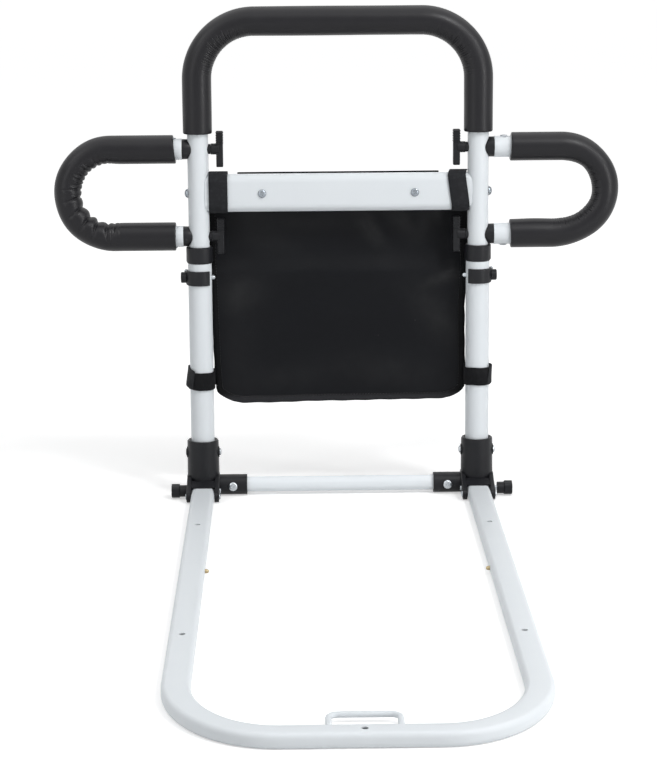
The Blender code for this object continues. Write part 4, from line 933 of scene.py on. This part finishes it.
def stitches(name, line, mat, face):
    """A row of short sunken threads along the edge tape, on its front (face -1) or its back (1)."""
    path = Path(line, BACK, 1)
    bm = bmesh.new()
    s = STITCH_PITCH
    while s < path.length - STITCH_PITCH:
        spot = path.place(s)
        ahead = path.place(s + 0.002) - spot
        ahead /= max(np.linalg.norm(ahead), 1e-9)
        centre = spot + np.cross(FRONT, ahead) * STITCH_INSET + np.array((0, face * EDGE_HALF, 0))
        place = aimed(centre, ahead, (1, 0, 0)) @ Matrix.Diagonal((STITCH_LENGTH / 2, 0.0004, 0.0003, 1))
        bmesh.ops.create_uvsphere(bm, u_segments=6, v_segments=4, radius=1, matrix=place)
        s += STITCH_PITCH
    return piece(name, bm, mat)


def hem(name, z, depth_at, half, height, thick, tape):
    """A rolled hem along a level edge of the pouch."""
    path = Path([(x, depth_at(x, z), z) for x in spaced(-half, half, 90)], UP, 1)
    outline = rounded_rectangle(thick, height, thick * 0.45, 3)
    rings = [path.ring(s, outline) for s in spaced(0, path.length, round(path.length / 0.003))]
    return piece(name, skinned(rings, filled=True), tape, 70)


def pouch():
    cloth = coated_cloth("pouch_cloth", (0.0034, 0.0037, 0.0048), (0.0054, 0.0059, 0.0074), spec=0.10)
    thread = coated_cloth("pouch_thread", (0.024, 0.024, 0.026), (0.036, 0.036, 0.038), 0.0004)
    tape = edge_tape("pouch_edging")
    front = panel("pouch_front", POUCH_TOP_Z - 0.0020, 92, front_y, cloth)
    back = panel("pouch_back", MOUTH_Z - 0.0016, 76, back_y, cloth)
    # The front's crease crests, kept for the cloth's painted highlight
    rub = front.data.attributes.new("rub", "FLOAT", "POINT")
    crests = [dents(v.co.x, v.co.z, 1.1, 1.25, 0.0) for v in front.data.vertices]
    rub.data.foreach_set("value", [min(1.0, crest / 0.0034) for crest in crests])
    line = edge_line()
    edge = binding(line, tape)
    rows = [stitches("pouch_stitch_front", line, thread, -1), stitches("pouch_stitch_back", line, thread, 1)]
    mouth = hem("pouch_mouth_hem", MOUTH_Z, back_y, POUCH_HALF - 0.008, 0.0075, 0.0024, tape)
    top = hem("pouch_top_hem", POUCH_TOP_Z - 0.0042, front_y, POUCH_TOP_HALF - 0.0012, 0.0080, 0.0022, tape)
    for obj in (front, back, edge, mouth, top, *rows):
        stands_for(obj, "pouch")


# Straps


def band(name, loop, up, height, thick, mat, ripple=0.0, seed=1):
    """A closed tape: a loop of (point, outward) pairs, given height along up and thickness."""
    first, second = np.random.default_rng(seed).uniform(0, 6.28, 2)
    outline = rounded_rectangle(thick, height, thick * 0.42, 2)
    rings = []
    for i, (spot, out) in enumerate(loop):
        share = i / len(loop) * 2 * pi
        rise = ripple * (sin(2 * share + first) + 0.5 * sin(5 * share + second))
        rings.append([Vector(spot) + out * a + Vector(up) * (b + rise) for a, b in outline])
    runs = lengths([spot for spot, _ in loop])
    return piece(name, taped(rings, runs, height / len(outline), closed=True), mat, 70)


BANDS = {
    # middle x, width, rise in metres, lean, and tilt of the front, as drawn up by the pouch's weight
    "L": (-0.1439, 0.0226, 0.0010, 0.0, 0.0),
    "R": (0.1446, 0.0216, 0.0012, -0.130, 0.065),
}


def beam_bands():
    tape = webbing("beam_tape", (0.0150, 0.0155, 0.0175), (0.0240, 0.0250, 0.0280), 0.0011, 0.0013)
    gap, limit = 0.0017, UPRIGHT_X - TUBE_R - 0.0006
    outline = rounded_rectangle(BEAM_DEPTH + 2 * gap, BEAM_HEIGHT + 2 * gap, BEAM_EDGE_R + gap, 8)
    for label in SIDES:
        middle, width, rise, lean, tilt = BANDS[label]
        loop = []
        for before, (u, v), after in zip(outline[-1:] + outline, outline, outline[1:] + outline[:1]):
            out = Vector((0, after[1] - before[1], before[0] - after[0])).normalized()
            loop.append(((middle, u, BEAM_Z + rise + v), out))
        made = band(f"beam_band_{label}", loop, (1, 0, 0), width, 0.0014, tape)
        for vert in made.data.vertices:
            spot = vert.co
            front = clamped(-spot.y / 0.010)
            along = spot.x - middle
            spot.x += lean * (spot.z - BEAM_Z) * front + 0.0004 * sin(spot.z * 190) * front
            spot.z += tilt * along * front
            if spot.y > 0:
                spot.x = copysign(min(abs(spot.x), limit), spot.x)
        stands_for(made, f"beam_strap_{label}")


def tube_bands():
    elastic = webbing("elastic", (0.0034, 0.0035, 0.0042), (0.0096, 0.0100, 0.0114), 0.0015, 0.0008)
    hooks = webbing("hook_tape", (0.0200, 0.0205, 0.0225), (0.0290, 0.0300, 0.0325), 0.0009, 0.0009)
    radius = LOWER_R + 0.0013
    for label, side in SIDES.items():
        low = 0.1333 if side < 0 else 0.1360
        centre = Vector((side * UPRIGHT_X, 0, low + 0.0225 / 2))
        outs = [Vector((cos(t), sin(t), 0)) for t in around(72)]
        loop = [(centre + out * radius, out) for out in outs]
        ring = band(f"tube_band_{label}", loop, UP, 0.0218, 0.0013, elastic, 0.0004, 4 + side)
        flap = hook_flap(label, side, radius + 0.0013, hooks)
        tab = sewn_tab(label, side, low, elastic)
        for obj in (ring, flap, tab):
            stands_for(obj, f"tube_strap_{label}")


def strip(name, rows, thick, mat):
    """An open tape from rows of points across it, thickened evenly."""
    pitch = 0.0016
    rows = [[(point, (i * pitch, j * pitch)) for j, point in enumerate(row)] for i, row in enumerate(rows)]
    made = thickened(piece(name, sheet_mesh(rows), mat), thick)
    modified(made, "SUBSURF", levels=1, render_levels=1)
    return made


FLAPS = {
    # start and span in degrees, slant of the free end, height of the lower edge, climb, lift low and high
    "L": (-57, 86, -12.5, 0.1349, 0.0044, 0.0024, -0.0019),
    "R": (-41, 72, 18.0, 0.1372, 0.0006, 0.0005, 0.0011),
}


def hook_flap(label, side, radius, mat):
    """The free end of the strap, pressed on the outer side, askew and standing a little off."""
    start, span, slant, low, climb, lift_low, lift_high = FLAPS[label]
    rows = []
    for share in spaced(0, 1, 18):
        away = sin(min(1.0, share / 0.85) * pi) ** 0.8
        row = []
        for up in spaced(0, 1, 10):
            turn = radians(start + slant * (up - 0.5) * (1 - share) + span * share)
            reach = radius + (lift_low * (1 - up) + lift_high * up * up) * away
            z = low + 0.0226 * up + climb * min(1.0, share / 0.65)
            row.append((side * (UPRIGHT_X + reach * cos(turn)), reach * sin(turn), z))
        rows.append(row)
    return strip(f"tube_flap_{label}", rows, 0.0011, mat)


def sewn_tab(label, side, low, mat):
    """The strap's sewn end, from the back of the tube into the pouch's bound edge."""
    rows = []
    for share in spaced(0, 1, 8):
        x = UPRIGHT_X - LOWER_R + 0.0026 - 0.0062 * share
        y = 0.0098 + 0.0052 * min(1.0, share * 1.3)
        rows.append([(side * x, y, z) for z in spaced(low + 0.0016, low + 0.0229, 8)])
    return strip(f"tube_tab_{label}", rows, 0.0012, mat)


# Hard parts


def softened(node, mat, body, width=EDGE_ROUND):
    """A welded copy of a carried-over node, with its edges rounded off."""
    bm = bmesh.new()
    bm.from_mesh(frame["nodes"][node].data)
    bmesh.ops.remove_doubles(bm, verts=bm.verts, dist=2e-6)
    bmesh.ops.dissolve_limit(bm, angle_limit=radians(0.8), verts=bm.verts, edges=bm.edges)
    made = piece(f"{node}_soft", bm, mat, body=body)
    modified(made, "BEVEL", width=width, segments=2, limit_method="ANGLE", angle_limit=radians(38))
    modified(made, "WEIGHTED_NORMAL", keep_sharp=True)
    return stands_for(made, node)


def turned(name, profile, place, axis, mat, body, sides=40):
    """A solid turned from (radius, height) pairs about an axis."""
    at = aimed(place, axis)
    rings = []
    for r, h in profile:
        turns = around(sides) if r else [0]
        rings.append([at @ Vector((r * cos(t), r * sin(t), h)) for t in turns])
    return piece(name, skinned(rings, filled=True), mat, 40, body)


def slab(place, axis, length, width, depth, turn):
    """A box across an axis, narrower at its inner end, to cut one arm of a cross recess."""
    bm = bmesh.new()
    spin = aimed(place, axis) @ Matrix.Rotation(radians(turn), 4, "Z")
    bmesh.ops.create_cube(bm, size=1, matrix=spin @ Matrix.Diagonal((length, width, depth, 1)))
    for vert in bm.verts:
        away = vert.co - place
        if away.dot(Vector(axis)) < 0:
            vert.co = place + away * 0.72
    return mesh_object("slab", bm)


def cross_screw(node, place, axis, size, turn, mat, body):
    """A pan-head screw with a cross recess."""
    head_r, head, shank_r, shank = size
    shares = ((0, 1), (0.40, 0.985), (0.66, 0.90), (0.84, 0.72), (0.95, 0.46), (1, 0.2), (0.985, 0))
    profile = [(head_r * r, head * h) for r, h in shares] + [(shank_r, 0), (shank_r, -shank), (0, -shank)]
    made = turned(f"{node}_cross", profile, place, axis, mat, body)
    top = Vector(place) + Vector(axis) * head
    cut_by(made, [slab(top, axis, head_r * 1.02, head_r * 0.21, head * 1.2, turn + arm) for arm in (0, 90)])
    stands_for(made, node)


def screws(zinc, dark):
    dome_r, dome, shank_r, shank, lip = 0.0056, 0.0040, 0.0030, 0.0488, 0.0001
    profile = [(dome_r * sin(t), dome * cos(t)) for t in spaced(0, pi / 2, 8)]
    profile += [(dome_r, -lip), (shank_r, -lip), (shank_r, -shank), (0, -shank)]
    for label, side in SIDES.items():
        beam, bar, plug = (side * 0.0916, -0.0108), (side * 0.1317, -0.0129), (side * 0.1985, 0)
        rows = (
            ("beam_screw", (*beam, BEAM_Z), FRONT, BEAM_SCREW, 28 + 20 * side, dark, "upper"),
            ("crossbar_screw", (*bar, 0.0127), FRONT, CROSSBAR_SCREW, 18 - 25 * side, zinc, "upright"),
            ("plug_screw_upper", (*plug, 0.4390), UP, PLUG_SCREW, 35, zinc, "upper"),
            ("plug_screw_lower", (*plug, 0.3079), (0, 0, -1), PLUG_SCREW, 35, zinc, "upper"),
        )
        for stem, *how in rows:
            cross_screw(f"{stem}_{label}", *how)
        place = (side * 0.1809, 0, BEAM_Z)
        made = turned(f"beam_bolt_{label}_dome", profile, place, (side, 0, 0), dark, "upper")
        stands_for(made, f"beam_bolt_{label}")


def saddles(plastic):
    """The handle ends' plugs: a nose that lies round the upright, a shoulder and a spigot."""
    rim, shoulder, spigot_r, depth, bore, edge = 0.01215, 0.0188, 0.0109, 0.0428, 0.0032, 0.0004
    lip_y, lip_z, hug = 0.0104, 0.0120, TUBE_R + 0.00006
    turns = around(56)
    steps = ((shoulder, rim - edge), (shoulder, spigot_r), (depth, spigot_r), (depth, bore))
    rings = [[(x, r * cos(t), r * sin(t)) for t in turns] for x, r in steps]
    for f in (0.32, 0.5, 0.7, 0.86, 0.96):
        ring = [(lip_y * f * cos(t), lip_z * f * sin(t)) for t in turns]
        rings.append([(sqrt(hug * hug - y * y), y, w) for y, w in ring])
    for share in (0.0, 0.03, 0.10, 0.2, 0.32, 0.48, 0.7, 0.97, 1.0):
        ease = 1 - (1 - share) ** 2.4
        r = rim - (edge if share == 1.0 else 0)
        ring = []
        for t in turns:
            y, w = lip_y * cos(t), lip_z * sin(t)
            x = sqrt(hug * hug - y * y) + (edge if share == 0.0 else 0)
            y, w = y + (r * cos(t) - y) * ease, w + (r * sin(t) - w) * ease
            ring.append((x + (shoulder - x) * share, y, w))
        rings.append(ring)
    for end, side, z in HANDLE_ENDS:
        bm = skinned([[(side * (UPRIGHT_X + x), y, z + w) for x, y, w in ring] for ring in rings])
        stands_for(piece(f"handle_plug_{end}_saddle", bm, plastic, 50), f"handle_plug_{end}")


def knob_ribs(plastic):
    """Thin ribs round the upper half of each T-knob's bar."""
    bar_x, width, depth, inset = 0.1419, 0.0092, 0.0126, 0.0004
    first, pitch, outer, inner = 0.0072, 0.0031, 0.00055, 0.0003
    for end, side, z in HANDLE_ENDS:
        bm = bmesh.new()
        for i in range(5):
            middle = z + first + pitch * i
            rings = []
            for rise, less in ((-outer, inset), (-inner, 0.0), (inner, 0.0), (outer, inset)):
                outline = rounded_rectangle(width - 2 * less, depth - 2 * less, 0.0012, 3)
                rings.append([(side * (bar_x + u), v, middle + rise) for u, v in outline])
            skinned(rings, filled=True, bm=bm)
        made = piece(f"knob_ribs_{end}", bm, plastic, 40, f"knob_{end}")


def clip_rings(zinc):
    """A small zinc disc behind each locking clip's outer end."""
    radius, half = 0.0022, 0.0004
    profile = [(0, half), (radius * 0.8, half), (radius, half * 0.5), (radius, -half), (0, -half)]
    for label, side in SIDES.items():
        place = (side * 0.1850, 0.0050, 0.2782)
        made = turned(f"clip_ring_{label}", profile, place, FRONT, zinc, f"lock_{label}", 24)


def leaves(mat):
    """The leaf behind each button, as a rounded copy that rides on no body."""
    for label in SIDES:
        made = softened(f"leg_spring_{label}", mat, None)
        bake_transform(made)


def dress_nodes(paint):
    plastic = black_plastic("black_plastic")
    knob = black_plastic("knob_plastic", 0.85)
    zinc = bright_metal("zinc", (0.50, 0.53, 0.56))
    dark = bright_metal("dark_zinc", (0.30, 0.33, 0.36), 0.16, 0.30)
    by_look = (
        # The crossbar gets a paler copy of the paint: painted light on a bar that sits in shade
        (white_paint("bar_paint", pale=1.13), ("crossbar",)),
        (white_paint("white_paint_rubbed", 0.30), ("upper_frame",)),
        (paint, ("strap_loop", "beam", "lower_tube")),
        (plastic, ("hinge_bracket", "collar", "height_clip", "socket_cap", "knob_washer")),
        (knob, ("handle_knob", "clamp_knob")),
        (bright_metal("brass", (0.42, 0.34, 0.20), 0.30, 0.45), ("leg_button",)),
    )
    looks = {stem: mat for mat, stems in by_look for stem in stems}
    anew = (
        "top_grip", "side_grip", "side_handle", "base_frame", "pouch", "beam_strap", "tube_strap",
        "beam_screw", "crossbar_screw", "plug_screw", "beam_bolt", "handle_plug", "leg_spring",
    )
    widths = {"hinge_bracket": 0.0007, "collar": 0.0009, "height_clip": 0.0005}
    for name, obj in list(frame["nodes"].items()):
        mat = next((mat for stem, mat in looks.items() if name.startswith(stem)), zinc)
        obj.data.materials.clear()
        obj.data.materials.append(mat)
        if not name.startswith(anew):
            softened(name, mat, obj.parent.name.removeprefix("body:"), widths.get(name[:-2], EDGE_ROUND))
    leaves(bright_metal("spring_steel", (0.45, 0.46, 0.48)))
    screws(zinc, dark)
    saddles(plastic)
    knob_ribs(knob)
    clip_rings(zinc)


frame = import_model()
bpy.context.scene.view_settings.view_transform = "Standard"
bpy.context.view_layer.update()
camera()
light()
floor()
PAINT = white_paint("white_paint")
dress_nodes(PAINT)
grips()
side_tubes(PAINT)
base_frame(PAINT)
pouch()
beam_bands()
tube_bands()
